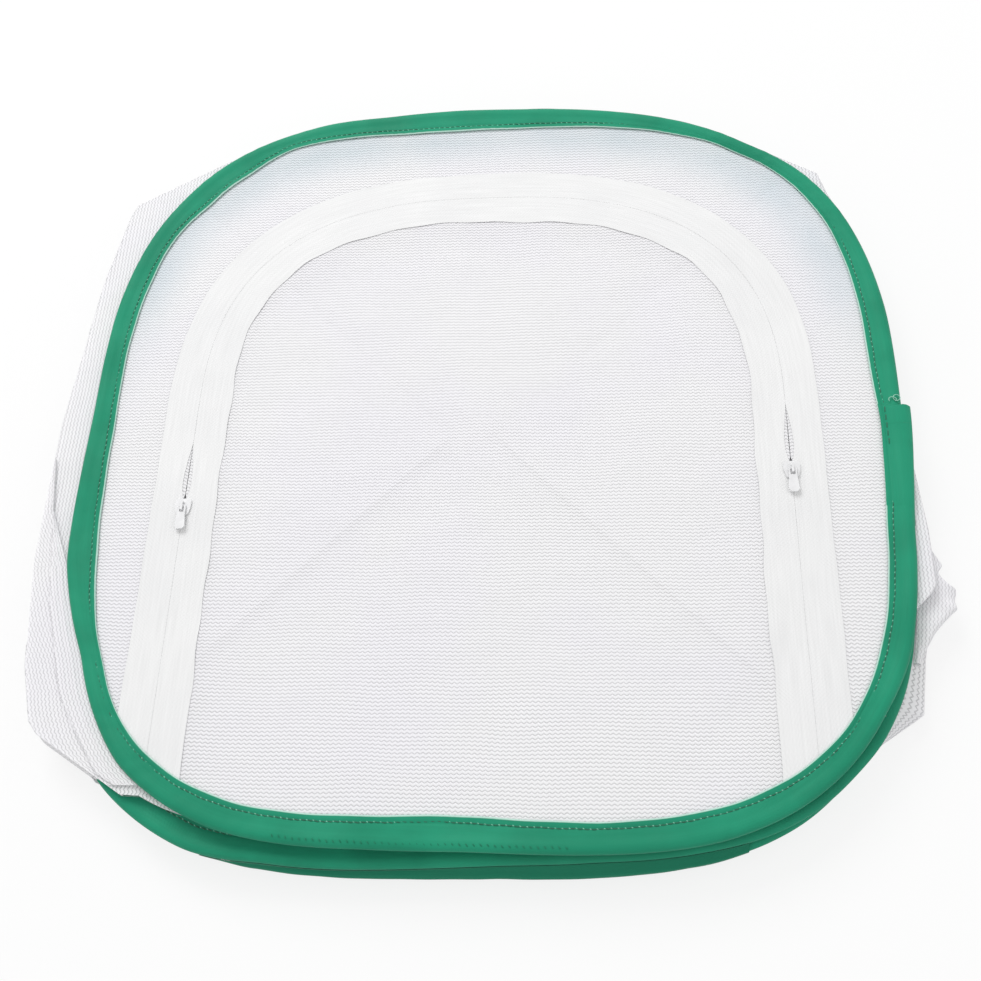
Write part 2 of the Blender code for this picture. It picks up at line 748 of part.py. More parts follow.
def make_slider(side):
    """Slider: two plates on a thin bridge, side flanges below and a crown above."""
    x = side * ZIP_HALF_SPAN
    y = slider_place(side)
    low, channel_low, channel_high, high = slider_levels()
    bite = SLIDER_PLATE / 2
    origin = (x, y, channel_high)
    node = "slider_" + side_name(side)
    body = finish_object(node, shield((x, y), low, channel_low), SLIDER_PLASTIC, origin)
    pieces = [shield((x, y), channel_high, high)]
    end = y + SLIDER_LENGTH / 2
    bridge_low = (x - BRIDGE_HALF, end - BRIDGE_LENGTH, channel_low - bite)
    bridge_high = (x + BRIDGE_HALF, end - bite, channel_high + bite)
    pieces.append(block(bridge_low, bridge_high))
    tape_bottom = FRONT.middle - MESH_THICKNESS / 2 - CLEARANCE - ZIP_TAPE_THICKNESS
    for hand in (-1, 1):
        near = x + hand * FLANGE_GAP
        far = x + hand * (FLANGE_GAP + FLANGE_THICKNESS)
        flange_low = (min(near, far), y, channel_low - bite)
        flange_high = (max(near, far), end - SLIDER_PLATE, tape_bottom - CLEARANCE)
        pieces.append(block(flange_low, flange_high))
    half_crown = CROWN_WIDTH / 2
    crown_bottom = high + CROWN_OPENING
    for hand in (-1, 1):
        near = y + hand * (CROWN_LENGTH / 2 - CROWN_STRAP)
        far = y + hand * CROWN_LENGTH / 2
        post_low = (x - half_crown, min(near, far), high - bite)
        post_high = (x + half_crown, max(near, far), crown_bottom + bite / 2)
        pieces.append(block(post_low, post_high))
    strap_low = (x - half_crown, y - CROWN_LENGTH / 2, crown_bottom)
    strap_high = (x + half_crown, y + CROWN_LENGTH / 2, crown_bottom + CROWN_STRAP)
    pieces.append(block(strap_low, strap_high))
    for count, piece in enumerate(pieces):
        combine(body, finish_object(node + "_join_" + str(count), piece, SLIDER_PLASTIC), "UNION")
    return body


def pull_axis(side):
    """Middle of the bar that a pull turns about, under the crown."""
    high = slider_levels()[3]
    return side * ZIP_HALF_SPAN, slider_place(side), high + CROWN_OPENING / 2


def make_pull(side):
    """Pull tab: a bar under the crown, two arms and a flared tab."""
    x, y, z = pull_axis(side)
    half_bar = PULL_THICKNESS / 2
    half_head = PULL_WINDOW / 2 + PULL_ARM
    half_tip = PULL_TIP_WIDTH / 2
    shoulder = y - PULL_WINDOW_LENGTH - PULL_ARM
    tip = y - PULL_LENGTH
    outline = (
        (x - half_head, y + half_bar), (x - half_head, shoulder), (x - half_tip, tip + half_tip / 2),
        (x - half_tip / 2, tip), (x + half_tip / 2, tip), (x + half_tip, tip + half_tip / 2),
        (x + half_head, shoulder), (x + half_head, y + half_bar),
    )
    node = "pull_" + side_name(side)
    tab = finish_object(node, slab(outline, z - half_bar, z + half_bar), SLIDER_PLASTIC, (x, y, z))
    window = block(
        (x - PULL_WINDOW / 2, y - PULL_WINDOW_LENGTH, z - PULL_THICKNESS),
        (x + PULL_WINDOW / 2, y - half_bar, z + PULL_THICKNESS),
    )
    return combine(tab, finish_object(node + "_cut", window, SLIDER_PLASTIC), "DIFFERENCE")


def smooth(share):
    """Ease from 0 to 1."""
    share = min(max(share, 0.0), 1.0)
    return share * share * (3 - 2 * share)


def make_seams():
    """Tapes that join neighbouring panels along their far and near sides."""
    for node, lower, upper in (("seam_floor_back", FLOOR, BACK), ("seam_roof_front", ROOF, FRONT)):
        height = upper.middle - lower.middle
        outer = CLEARANCE + TAPE_THICKNESS
        profile = ((CLEARANCE, 0.0), (outer, 0.0), (outer, height), (CLEARANCE, height))
        far = hoop_side_path(lower, SEAM_HALF_LENGTH, True)
        bm = sweep(far, lambda station: profile, lower.middle, lower.shift, closed=False)
        finish_object(node, bm, BINDING_CLOTH)
    half = (ROOF.middle - BACK.middle) / 2

    def bulge(station):
        """Rounded fold of the tape, flatter towards its two ends."""
        (x, _), _ = station
        share = smooth((SEAM_HALF_LENGTH - abs(x)) / SEAM_TAPER)
        reach = (FOLD_RADIUS - CLEARANCE) * (SEAM_END_SHARE + (1 - SEAM_END_SHARE) * share)
        return [(CLEARANCE + reach * out, half + half * height) for out, height in SEAM_SHARES]

    near = hoop_side_path(BACK, SEAM_HALF_LENGTH, False)
    bm = sweep(near, bulge, BACK.middle, BACK.shift, closed=False)
    finish_object("seam_back_roof", bm, BINDING_CLOTH)


def facet_station(y):
    """Path station at y on the flat facets that meet at the middle of the door hoop's right side."""
    first = hoop_turn(FRONT, 0.0)
    last = hoop_turn(FRONT, math.copysign(math.tau / HOOP_STEPS, y))
    return between(first, last, (y - first[0][1]) / (last[0][1] - first[0][1]))


def make_lap():
    """End of the door hoop's tape, lapped over its start on the right side."""
    path = [facet_station(y) for y in even(LAP_START_Y - LAP_LENGTH, LAP_START_Y, LAP_STEPS)]
    inner = bead_outline()
    inner.append((inner[-1][0], 0.0))

    def section(station):
        """Lap over the bead's top and rim, standing off most at the tape's end."""
        (_, y), _ = station
        step_out = LAP_STEP * smooth((y - LAP_START_Y + LAP_LENGTH) / LAP_LENGTH)
        low = []
        high = []
        for x, z in inner:
            beyond = x > -BEAD_WIDTH / 2
            low_out = CLEARANCE if beyond and z < HALF_BEAD * LAP_RIM_SHARE else 0.0
            high_out = CLEARANCE + LAP_THICKNESS + step_out if beyond else 0.0
            low.append((x + low_out, z + CLEARANCE))
            high.append((x + high_out, z + CLEARANCE + LAP_THICKNESS))
        high[-1] = (high[-1][0], low[-1][1])
        return low + list(reversed(high))

    finish_object("front_binding_lap", sweep(path, section, FRONT.middle, closed=False), BINDING_CLOTH)


def slack_solid(node, side, rows, outer_edge, pleat):
    """Bulge of slack wall cloth beside the hoops, pleated across its length."""
    bottom = BACK.level + CLEARANCE
    top = ROOF.level + BEAD_THICKNESS - CLEARANCE
    middle = (bottom + top) / 2
    half = (top - bottom) / 2
    sections = []
    for y in rows:
        lower = hoop_reach(BACK, side, y - PAIR_SHIFT_Y) + side * PAIR_SHIFT_X
        inner = max(hoop_reach(ROOF, side, y), lower) + CLEARANCE + SHEET_THICKNESS
        outer = max(outer_edge(y), inner + SLACK_EDGE)
        wave = 1 - SLACK_PLEAT_SHARE / 2 * (1 - math.cos(math.tau * y / pleat))
        section = []
        for k in range(SLACK_SIDES + 1):
            share = k / SLACK_SIDES
            crest = math.sin(math.pi * min(share + 1 / 4, 1))
            swell = SLACK_EDGE / 2 + (half - SLACK_EDGE / 2) * wave * crest
            section.append((side * (inner + (outer - inner) * share), y, middle + swell))
        for x, y_point, z in reversed(list(section)):
            section.append((x, y_point, 2 * middle - z))
        sections.append(section)
    return finish_object(node, loft(sections, closed=False), MESH_CLOTH)


def make_slack():
    """Slack of the side walls: two folds on the left and a gathered tuft on the right."""

    def left_edge(y):
        return ear_edge(-1, y) - CREASE_INSET

    def tuft_edge(y):
        share = (y - TUFT_CENTRE_Y) / TUFT_HALF_LENGTH
        swell = max(0.0, 1 - share * share) ** 2
        return HALF_SIDE - TUFT_SHOULDER + (TUFT_REACH + TUFT_SHOULDER) * swell

    end = HALF_SIDE - SLACK_END_MARGIN
    far = even(SLACK_SPLIT_Y + SLACK_JOIN, end, SLACK_STEPS)
    slack_solid("slack_left_far", -1, far, left_edge, HOOP_SIDE)
    near = even(-end, SLACK_SPLIT_Y, SLACK_STEPS)
    slack_solid("slack_left_near", -1, near, left_edge, SLACK_PLEAT)
    tuft = even(TUFT_CENTRE_Y - TUFT_HALF_LENGTH, TUFT_CENTRE_Y + TUFT_HALF_LENGTH, SLACK_STEPS)
    slack_solid("slack_right_tuft", 1, tuft, tuft_edge, TUFT_PLEAT)


def centre_on_floor():
    """Move the whole cage so that its box stands centred on the origin."""
    low = Vector((math.inf, math.inf, math.inf))
    high = -low
    for obj in bpy.context.scene.objects:
        for vertex in obj.data.vertices:
            place = obj.location + vertex.co
            low = Vector(map(min, low, place))
            high = Vector(map(max, high, place))
    middle = Vector(((low.x + high.x) / 2, (low.y + high.y) / 2, low.z))
    for obj in bpy.context.scene.objects:
        obj.location -= middle
    return middle, high - low


def main():
    """Build the folded cage."""
    clear_scene()
    for panel in PANELS:
        make_binding(panel)
        make_wire(panel)
        make_ferrule(panel)
        if panel is not FRONT:
            make_mesh(panel)
        for side in (-1, 1):
            make_ear(panel, side)
            make_quarter(panel, side)
    make_front_mesh()
    make_zip()
    for side in (-1, 1):
        make_slider(side)
        make_pull(side)
    make_seams()
    make_lap()
    make_slack()
    middle, size = centre_on_floor()
    print("middle", tuple(middle), "size", tuple(size))
    for obj in bpy.context.scene.objects:
        if any(abs(value) > CLEARANCE for value in obj.location + middle):
            print("origin", obj.name, [round(value, 6) for value in obj.location])


main()
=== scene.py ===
import json
import logging
import math
from dataclasses import dataclass, field
from enum import Enum
from typing import Callable, Sequence

import bpy
import numpy as np
from mathutils import Matrix, Vector

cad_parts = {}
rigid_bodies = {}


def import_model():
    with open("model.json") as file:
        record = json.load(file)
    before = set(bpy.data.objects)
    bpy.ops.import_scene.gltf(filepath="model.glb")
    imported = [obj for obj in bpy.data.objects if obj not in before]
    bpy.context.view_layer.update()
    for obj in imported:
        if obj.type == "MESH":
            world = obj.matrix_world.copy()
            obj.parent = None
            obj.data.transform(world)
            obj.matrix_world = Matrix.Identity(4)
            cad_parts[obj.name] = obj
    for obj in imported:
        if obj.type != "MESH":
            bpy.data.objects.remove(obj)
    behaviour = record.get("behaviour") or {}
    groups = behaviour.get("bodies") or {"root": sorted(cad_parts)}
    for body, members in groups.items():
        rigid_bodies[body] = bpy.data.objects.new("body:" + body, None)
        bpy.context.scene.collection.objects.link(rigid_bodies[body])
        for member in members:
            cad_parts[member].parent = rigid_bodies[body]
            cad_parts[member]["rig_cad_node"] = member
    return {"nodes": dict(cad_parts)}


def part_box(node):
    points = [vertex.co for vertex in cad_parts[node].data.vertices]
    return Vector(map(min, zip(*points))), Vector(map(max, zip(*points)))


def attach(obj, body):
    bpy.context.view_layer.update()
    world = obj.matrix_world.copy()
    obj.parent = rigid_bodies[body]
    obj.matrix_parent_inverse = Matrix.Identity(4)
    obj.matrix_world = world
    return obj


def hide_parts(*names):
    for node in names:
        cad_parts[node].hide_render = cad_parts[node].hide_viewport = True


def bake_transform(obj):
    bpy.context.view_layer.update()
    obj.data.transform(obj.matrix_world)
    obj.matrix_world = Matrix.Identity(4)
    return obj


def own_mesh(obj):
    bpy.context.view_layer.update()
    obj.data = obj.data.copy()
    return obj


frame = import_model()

log = logging.getLogger("insect_cage")

MM = 0.001
GOLDEN_ANGLE = 2.399963

# Sizes in metres: the hoops, the wall cloth and the zip
HOOP_HALF = 0.200
HOOP_EXPONENT = 3.1
BINDING_WIDTH = 0.0137
LEAST_BINDING_WIDTH = 0.0084
BEAD_WIDTH = 0.0058
WIRE_RADIUS = 0.0008
STITCH_RISE = 0.00102
BEAD_STITCH_RISE = 0.00224
NET_HALF = 0.186
MESH_INSET = 0.0070
EAR_TUCK = 0.0300
HOOP_LAP = 0.004
LEAST_CLOTH = 0.0008
CORNER_TUCK = 0.0040
CORNER_START = 0.098
CREASE_INSET = 0.0010
QUARTER_GAP = 0.0003
LOW_CLOTH_TRIM = 0.0065
HIGH_CLOTH_TRIM = 0.0155
LOW_CLOTH_SHIFT = (0.0067, 0.0076)
ZIP_HALF_SPAN = 0.146
ZIP_LEG_TOP = 0.012
ZIP_ARCH_RISE = 0.130
ZIP_ARCH_EXPONENT = 2.6
SLIT_HALF = 0.00003
SLIDER_SLIT_HALF = 0.0008
TAPE_HALF_WIDTH = 0.0160
TAPE_OVER_NET = 0.00026
COIL_OFF_SLIT = 0.00062
COIL_UNDER_NET = 0.00185
HINGE_SLIT = 0.0006
SLIT_STATIONS = 700
LEAF_HALF = 0.0021
NET_LEAF_HALF = 0.00015
LEAF_LENGTH = 0.030
LEAF_SKEW = 0.6
SLIDER_HALF_LENGTH = 0.0042

Reads = tuple[tuple[float, float], ...]
Array = np.ndarray
Piece = bpy.types.Object
Socket = bpy.types.NodeSocket
Level = Callable[[Array, Array], Array]
Stations = tuple[Array, Array, Array]

# Edge of the wall cloth, near to far: place as a share of the half side, reach as a share of the crease's
LEFT_CLOTH_SHARES: Reads = (
    (-0.930, 0.560), (-0.909, 0.623), (-0.897, 0.651), (-0.882, 0.680), (-0.880, 0.720), (-0.750, 0.917),
    (-0.720, 0.940), (-0.590, 0.972), (-0.330, 1.0), (0.040, 1.0), (0.465, 0.963), (0.690, 0.925),
    (0.730, 0.912), (0.880, 0.678),
)
RIGHT_CLOTH_SHARES: Reads = (
    (-0.860, 0.714), (-0.755, 0.845), (-0.695, 0.932), (-0.570, 0.952), (-0.400, 1.0), (-0.265, 1.0),
    (-0.110, 0.988), (0.0, 0.965), (0.630, 0.893), (0.705, 0.864), (0.770, 0.845), (0.860, 0.700),
)

# How the hoops stray outward, in mm, at shares of the outline from the right side round by the far side
FRONT_RIM_SHARES: Reads = (
    (0.009, 0.4), (0.046, 1.4), (0.092, 0.2), (0.118, -1.0), (0.144, -3.6), (0.176, -1.0), (0.206, 1.1),
    (0.229, 2.6), (0.264, 3.3), (0.294, 1.7), (0.319, 2.6), (0.343, 1.6), (0.385, -0.2), (0.444, 1.0),
    (0.490, 0.1), (0.550, 1.9), (0.586, -3.7), (0.610, -0.9), (0.627, 1.6), (0.666, 2.0), (0.714, -1.4),
    (0.747, -1.8), (0.789, -0.4), (0.827, 1.3), (0.855, 0.9), (0.895, -0.4), (0.914, 1.2), (0.959, -0.1),
)
FRONT_LIP_SHARES: Reads = (
    (0.002, 3.4), (0.021, 1.5), (0.080, 3.0), (0.131, 2.9), (0.229, 2.6), (0.285, 1.5), (0.320, 4.1),
    (0.336, 5.5), (0.358, 0.0), (0.384, -1.7), (0.404, 1.3), (0.460, 2.3), (0.551, 0.3), (0.593, 1.1),
    (0.614, 3.3), (0.648, 3.3), (0.673, 2.0), (0.712, -1.5), (0.739, -3.3), (0.790, 0.1), (0.835, 1.5),
    (0.881, 2.5), (0.926, 1.6), (0.958, 0.8),
)
ROOF_RIM_SHARES: Reads = (
    (0.100, 1.0), (0.300, -0.6), (0.570, 0.0), (0.598, 9.0), (0.613, 13.0), (0.627, 14.1), (0.645, 14.1),
    (0.660, 13.9), (0.670, 12.0), (0.682, 8.9), (0.703, 6.9), (0.728, 4.6), (0.760, 2.3), (0.790, 1.4),
    (0.822, 2.7), (0.842, 4.4), (0.857, 4.8), (0.875, 4.2), (0.889, 5.0), (0.908, 4.5), (0.930, 2.5),
    (0.960, 0.0),
)
BACK_RIM_SHARES: Reads = (
    (0.100, 0.6), (0.300, -0.5), (0.574, 0.0), (0.600, 3.5), (0.627, 9.0), (0.645, 9.6), (0.660, 9.3),
    (0.672, 7.2), (0.682, 5.5), (0.703, 1.7), (0.728, 0.1), (0.750, 0.0), (0.790, 0.9), (0.805, 2.2),
    (0.822, 3.5), (0.842, 3.8), (0.857, 3.7), (0.875, 2.5), (0.900, 2.0), (0.930, 0.0),
)
FLOOR_RIM_SHARES: Reads = ((0.10, 0.5), (0.25, 0.0), (0.40, 0.7), (0.60, -0.6), (0.75, 0.0), (0.90, -0.4))
# Fold of the seam tape at the near edge: how far it bulges out beyond the lower hoop's true outline, in mm
NEAR_SEAM_READS: Reads = (
    (-119, 9.9), (-92, 7.2), (-65, 5.8), (-30, 4.5), (12, 3.6), (55, 3.5), (97, 3.9), (122, 4.0),
)
# Outline of the gathered tuft on the right, in mm: place along y, half width
TUFT_READS: Reads = (
    (-114, 196), (-107, 200), (-100, 205), (-93, 212), (-87, 217), (-81, 218), (-75, 214), (-71, 210.5),
    (-66, 212.5), (-61, 210), (-55, 206), (-46, 199),
)
# Pleated fold beside the near left of the front hoop, in mm: place along y, half width
PLEAT_READS: Reads = (
    (-172, 160), (-167, 169), (-146, 183.5), (-130, 193), (-88, 205), (-66, 208.5), (-40, 212), (-12, 215.5),
)
FREE_EDGE_READS: Reads = ((-69, 200), (-55, 206), (-40, 212), (-12, 216))

# Colours of the cloths and threads
GREEN = (0.013, 0.295, 0.165, 1.0)
GREEN_DEEP = (0.007, 0.205, 0.112, 1.0)
# Darker green of the seam tapes and the ribs: painted shade
GREEN_SEAM_SHADED = (0.008, 0.190, 0.105, 1.0)
# Stitch thread: its own green deepened by painted shade of the needle grooves
GREEN_THREAD_SHADED = (0.004, 0.090, 0.046, 1.0)
# Pale green of the loose thread and of the specks between stitches, which on the specks is a painted
# highlight
GREEN_PALE_THREAD_AND_HIGHLIGHT = (0.380, 0.700, 0.560, 1.0)
# Pale mint line painted along the binding's inner edge: a painted highlight
GREEN_EDGE_HIGHLIGHT = (0.62, 0.84, 0.76, 1.0)
TAPE_WHITE = (0.835, 0.835, 0.835, 1.0)
TAPE_SHADE = (0.800, 0.800, 0.806, 1.0)
# Bluish grey painted along the front net's far rim: painted shade of the lower hoops seen through the net
PAINTED_RIM_SHADE_COLOUR = (0.72, 0.79, 0.84, 1.0)


class Side(Enum):
    """Side of the cage as seen from the door."""

    LEFT = -1
    RIGHT = 1

    @property
    def word(self) -> str:
        """Name of the side as the frame's nodes have it."""
        return self.name.lower()

    @property
    def cloth_shares(self) -> Reads:
        """Places of the wall cloth's edge on this side."""
        return LEFT_CLOTH_SHARES if self is Side.LEFT else RIGHT_CLOTH_SHARES

    @property
    def crease(self) -> float:
        """Half width out to the crease of the wall cloth."""
        return HOOP_HALF + (0.018 if self is Side.LEFT else 0.006)

    @property
    def slider_y(self) -> float:
        """Place of this side's slider along the zip's leg."""
        return -0.0400 if self is Side.LEFT else -0.0232

    @property
    def fold_y(self) -> float:
        """Height at which the door's fold line meets this leg."""
        return self.slider_y + SLIDER_HALF_LENGTH + HINGE_SLIT

    def cloth_edge(self, y: Array, low: bool = False) -> Array:
        """Half width out to the cloth's edge at places along y.

        Near the viewer the upper pair's cloth shows on the left, and the lower pair's on the right.

        Args:
            y: Places along the side.
            low: Whether the cloth is that of the lower pair of panels.

        Returns:
            Half width at each place.
        """
        near = smooth((-y - 0.060) / 0.050)
        place = y - LOW_CLOTH_SHIFT[1] * near * (low and self is Side.RIGHT)
        edge = self.crease * np.interp(place / HOOP_HALF, *zip(*self.cloth_shares))
        if self is Side.LEFT:
            return edge - LOW_CLOTH_TRIM * near * low
        if low:
            return np.minimum(edge + LOW_CLOTH_SHIFT[0] * near * smooth((y + 0.176) / 0.030), self.crease)
        return edge - HIGH_CLOTH_TRIM * smooth((-y - 0.078) / 0.026)


def signed_power(value: Array, exponent: float) -> Array:
    """Power of a value's size with its sign kept."""
    return np.sign(value) * np.abs(value) ** exponent


def smooth(share: Array) -> Array:
    """Ease from 0 to 1."""
    share = np.clip(share, 0.0, 1.0)
    return share * share * (3 - 2 * share)


def read_mm(reads: Reads, places: Array) -> Array:
    """Sizes read in millimetres at places in metres, given in metres."""
    return np.interp(places / MM, *zip(*reads)) * MM


def rounded(values: Array, reach: int) -> Array:
    """Row of values with its kinks rounded over some neighbours."""
    kernel = np.hanning(2 * reach + 3)
    padded = np.concatenate([np.full(reach + 1, values[0]), values, np.full(reach + 1, values[-1])])
    return np.convolve(padded, kernel / kernel.sum(), "valid")


def stray(share: Array, reads: Reads, soft: float = 0.004) -> Array:
    """How far an edge strays outward, softened between the places where it was read.

    Args:
        share: Places as shares of the closed outline.
        reads: Places and strays in millimetres; empty for none.
        soft: Length of the softening, as a share of the outline.

    Returns:
        The stray at each place, in metres.
    """
    if not reads:
        return np.zeros(np.shape(share))
    steps = 4000
    fine = np.arange(steps) / steps
    raw = np.interp(fine, *zip(*reads), period=1.0)
    reach = int(3 * soft * steps)
    kernel = np.exp(-((np.arange(-reach, reach + 1) / (soft * steps)) ** 2))
    even_out = np.convolve(np.concatenate([raw[-reach:], raw, raw[:reach]]), kernel / kernel.sum(), "valid")
    return np.interp(share, fine, even_out, period=1.0) * MM


def crumple(x: Array, y: Array, size: float, turn: float = 0.0, count: int = 5) -> Array:
    """Soft uneven waves between about -1 and 1 that no two pieces of cloth share.

    Args:
        x: Places along the first direction, in metres.
        y: Places along the second direction, in metres.
        size: Typical length of a wave.
        turn: Starting angle, which makes one pattern differ from another.
        count: How many waves are laid over each other.

    Returns:
        The height of the waves at each place.
    """
    total = np.zeros(np.broadcast(x, y).shape)
    for k in range(count):
        angle = turn + GOLDEN_ANGLE * k
        length = size * (0.62 + 0.19 * k)
        across = x * math.cos(angle) + y * math.sin(angle)
        total = total + np.sin(math.tau * across / length + 1.7 * k + turn)
    return total / math.sqrt(count) / 1.4


def dent(x: Array, y: Array, at: tuple[float, float], reach: float) -> Array:
    """Round bump of height 1 about a place."""
    return np.exp(-((x - at[0]) ** 2 + (y - at[1]) ** 2) / reach**2)


def valley(x: Array, y: Array, line: Sequence[tuple[float, float]], reach: float) -> Array:
    """Ridge of height 1 along a line of points, soft on both sides and at its ends."""
    best = np.zeros(np.broadcast(x, y).shape)
    for (ax, ay), (bx, by) in zip(line, line[1:]):
        length = math.hypot(bx - ax, by - ay)
        along = np.clip(((x - ax) * (bx - ax) + (y - ay) * (by - ay)) / length**2, 0, 1)
        gap = np.hypot(x - ax - along * (bx - ax), y - ay - along * (by - ay))
        best = np.maximum(best, np.exp(-((gap / reach) ** 2)))
    return best


def together(*parts: object) -> Array:
    """Spread arrays over each other and join them as the coordinates of points."""
    return np.stack(np.broadcast_arrays(*parts), axis=-1)


def between(first: Array, second: Array, share: Array) -> Array:
    """Values that run from the first ones to the second ones."""
    return first * (1 - share) + second * share


def walked(points: Array) -> Array:
    """Distance walked along each row of points."""
    steps = np.linalg.norm(np.diff(points, axis=-2), axis=-1)
    return np.concatenate([np.zeros((*steps.shape[:-1], 1)), np.cumsum(steps, axis=-1)], axis=-1)


def box_middle(node: str) -> tuple[float, ...]:
    """Middle of a node's box in the frame."""
    low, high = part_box(node)
    return tuple((low[k] + high[k]) / 2 for k in range(3))


def even(points: Array, count: int) -> tuple[Array, Array]:
    """Spread a row of points evenly along its length.

    Args:
        points: The row, one point a line.
        count: How many points to return.

    Returns:
        The new points and how far along the row each lies.
    """
    along = walked(points)
    wanted = np.linspace(0.0, along[-1], count)
    return np.stack([np.interp(wanted, along, row) for row in points.T], axis=1), wanted


def side_normals(points: Array) -> Array:
    """Normals on the left hand of a flat row of points."""
    tangent = np.gradient(points, axis=0)
    tangent /= np.linalg.norm(tangent, axis=1)[:, None]
    return np.stack([-tangent[:, 1], tangent[:, 0]], axis=1)


def loom(
    name: str, points: Array, uvs: Array, merge: float = 0.0, solid: bool = False, flip: bool = False
) -> Piece:
    """Lay a grid primitive over rows of points.

    Args:
        name: Name of the new object.
        points: Places of the grid's vertices, rows by columns by three.
        uvs: Flat place of each vertex in metres, rows by columns by two.
        merge: Distance under which vertices are joined, or 0.
        solid: Whether the grid closes to a shell whose faces are turned outward.
        flip: Whether an open sheet's faces are turned over.

    Returns:
        The new object, at the origin.
    """
    rows, columns = points.shape[:2]
    bpy.ops.object.select_all(action="DESELECT")
    bpy.ops.mesh.primitive_grid_add(x_subdivisions=columns - 1, y_subdivisions=rows - 1, size=1.0)
    obj = bpy.context.active_object
    obj.name = name
    mesh = obj.data
    mesh.name = name
    flat = np.empty(len(mesh.vertices) * 3)
    mesh.vertices.foreach_get("co", flat)
    flat = flat.reshape(-1, 3)
    column = np.rint((flat[:, 0] + 0.5) * (columns - 1)).astype(int)
    row = np.rint((flat[:, 1] + 0.5) * (rows - 1)).astype(int)
    mesh.vertices.foreach_set("co", points[row, column].astype(np.float32).ravel())
    corner = np.empty(len(mesh.loops), int)
    mesh.loops.foreach_get("vertex_index", corner)
    flat = uvs[row[corner], column[corner]]
    mesh.uv_layers.active.data.foreach_set("uv", flat.astype(np.float32).ravel())
    bpy.ops.object.mode_set(mode="EDIT")
    bpy.ops.mesh.select_all(action="SELECT")
    if merge:
        bpy.ops.mesh.remove_doubles(threshold=merge)
    if solid:
        bpy.ops.mesh.normals_make_consistent(inside=False)
    if flip:
        bpy.ops.mesh.flip_normals()
    bpy.ops.object.mode_set(mode="OBJECT")
    bpy.ops.object.shade_smooth()
    return obj


def star_sheet(
    name: str, edge: Array, centre: tuple[float, float], height: Level, rings: int = 42, flip: bool = False
) -> Piece:
    """Fill a closed edge with cloth that runs in to a middle point.

    Args:
        name: Name of the new object.
        edge: Closed row of points, the last one equal to the first.
        centre: Middle point that the rings close on.
        height: Level of the cloth at each place.
        rings: How many rings lie between the edge and the middle.
        flip: Whether the faces look down.

    Returns:
        The cloth, with its flat place as its UV map.
    """
    share = np.linspace(1.0, 0.0, rings)[:, None, None]
    flat = np.array(centre) + (edge[None] - np.array(centre)) * share
    x, y = flat[..., 0], flat[..., 1]
    return loom(name, together(x, y, height(x, y)), flat, merge=1e-6, flip=flip)


def strip_sheet(name: str, first: Array, second: Array, height: Level, columns: int, merge: float) -> Piece:
    """Span cloth between two flat edges that have equally many points."""
    flat = between(first[:, None], second[:, None], np.linspace(0.0, 1.0, columns)[None, :, None])
    x, y = flat[..., 0], flat[..., 1]
    return loom(name, together(x, y, height(x, y)), flat, merge=merge)


def copies(name: str, pattern: Piece, places: Sequence[Array]) -> Piece:
    """Repeat one small modelled piece at many places, as one object.

    Args:
        name: Name of the new object.
        pattern: The piece that is repeated; it is removed afterwards.
        places: One array of 3 x 4 matrices per copy, rotation and place.

    Returns:
        The object that holds every copy.
    """
    mesh = pattern.data
    corner = np.array([v.co for v in mesh.vertices])
    faces = [list(p.vertices) for p in mesh.polygons]
    frames = np.asarray(places)
    placed = np.einsum("nij,vj->nvi", frames[:, :, :3], corner) + frames[:, None, :, 3]
    count = len(corner)
    every = [[v + count * k for v in face] for k in range(len(frames)) for face in faces]
    made = bpy.data.meshes.new(name)
    made.from_pydata(placed.reshape(-1, 3).tolist(), [], every)
    made.update()
    bpy.data.objects.remove(pattern, do_unlink=True)
    obj = bpy.data.objects.new(name, made)
    bpy.context.scene.collection.objects.link(obj)
    bpy.ops.object.select_all(action="DESELECT")
    obj.select_set(True)
    bpy.context.view_layer.objects.active = obj
    bpy.ops.object.shade_smooth()
    return obj


def frames_along(points: Array, tangent: Array, hand: int = 1) -> Array:
    """Placing matrices whose x runs along the path and whose z stands up, or hangs down for hand -1."""
    x = tangent / np.linalg.norm(tangent, axis=1)[:, None]
    y = np.cross((0.0, 0.0, float(hand)), x)
    y /= np.linalg.norm(y, axis=1)[:, None]
    z = np.cross(x, y)
    return np.concatenate([np.stack([x, y, z], axis=-1), points[:, :, None]], axis=2)


def tube(name: str, path: Array, radius: float, sides: int = 8) -> Piece:
    """Round thread or wire along a row of points, with closed ends."""
    tangent = np.gradient(path, axis=0)
    tangent /= np.linalg.norm(tangent, axis=1)[:, None]
    aside = np.cross(tangent, (0.0, 0.0, 1.0))
    aside /= np.linalg.norm(aside, axis=1)[:, None]
    over = np.cross(aside, tangent)
    turns = np.linspace(0, math.tau, sides + 1)
    ring = aside[:, None] * np.cos(turns)[None, :, None] + over[:, None] * np.sin(turns)[None, :, None]
    uvs = together(walked(path)[:, None], radius * turns[None])
    obj = loom(name, path[:, None] + radius * ring, uvs, merge=1e-7)
    bpy.ops.object.mode_set(mode="EDIT")
    bpy.ops.mesh.select_all(action="SELECT")
    bpy.ops.mesh.fill_holes(sides=20)
    bpy.ops.mesh.select_all(action="SELECT")
    bpy.ops.mesh.normals_make_consistent(inside=False)
    bpy.ops.object.mode_set(mode="OBJECT")
    return obj


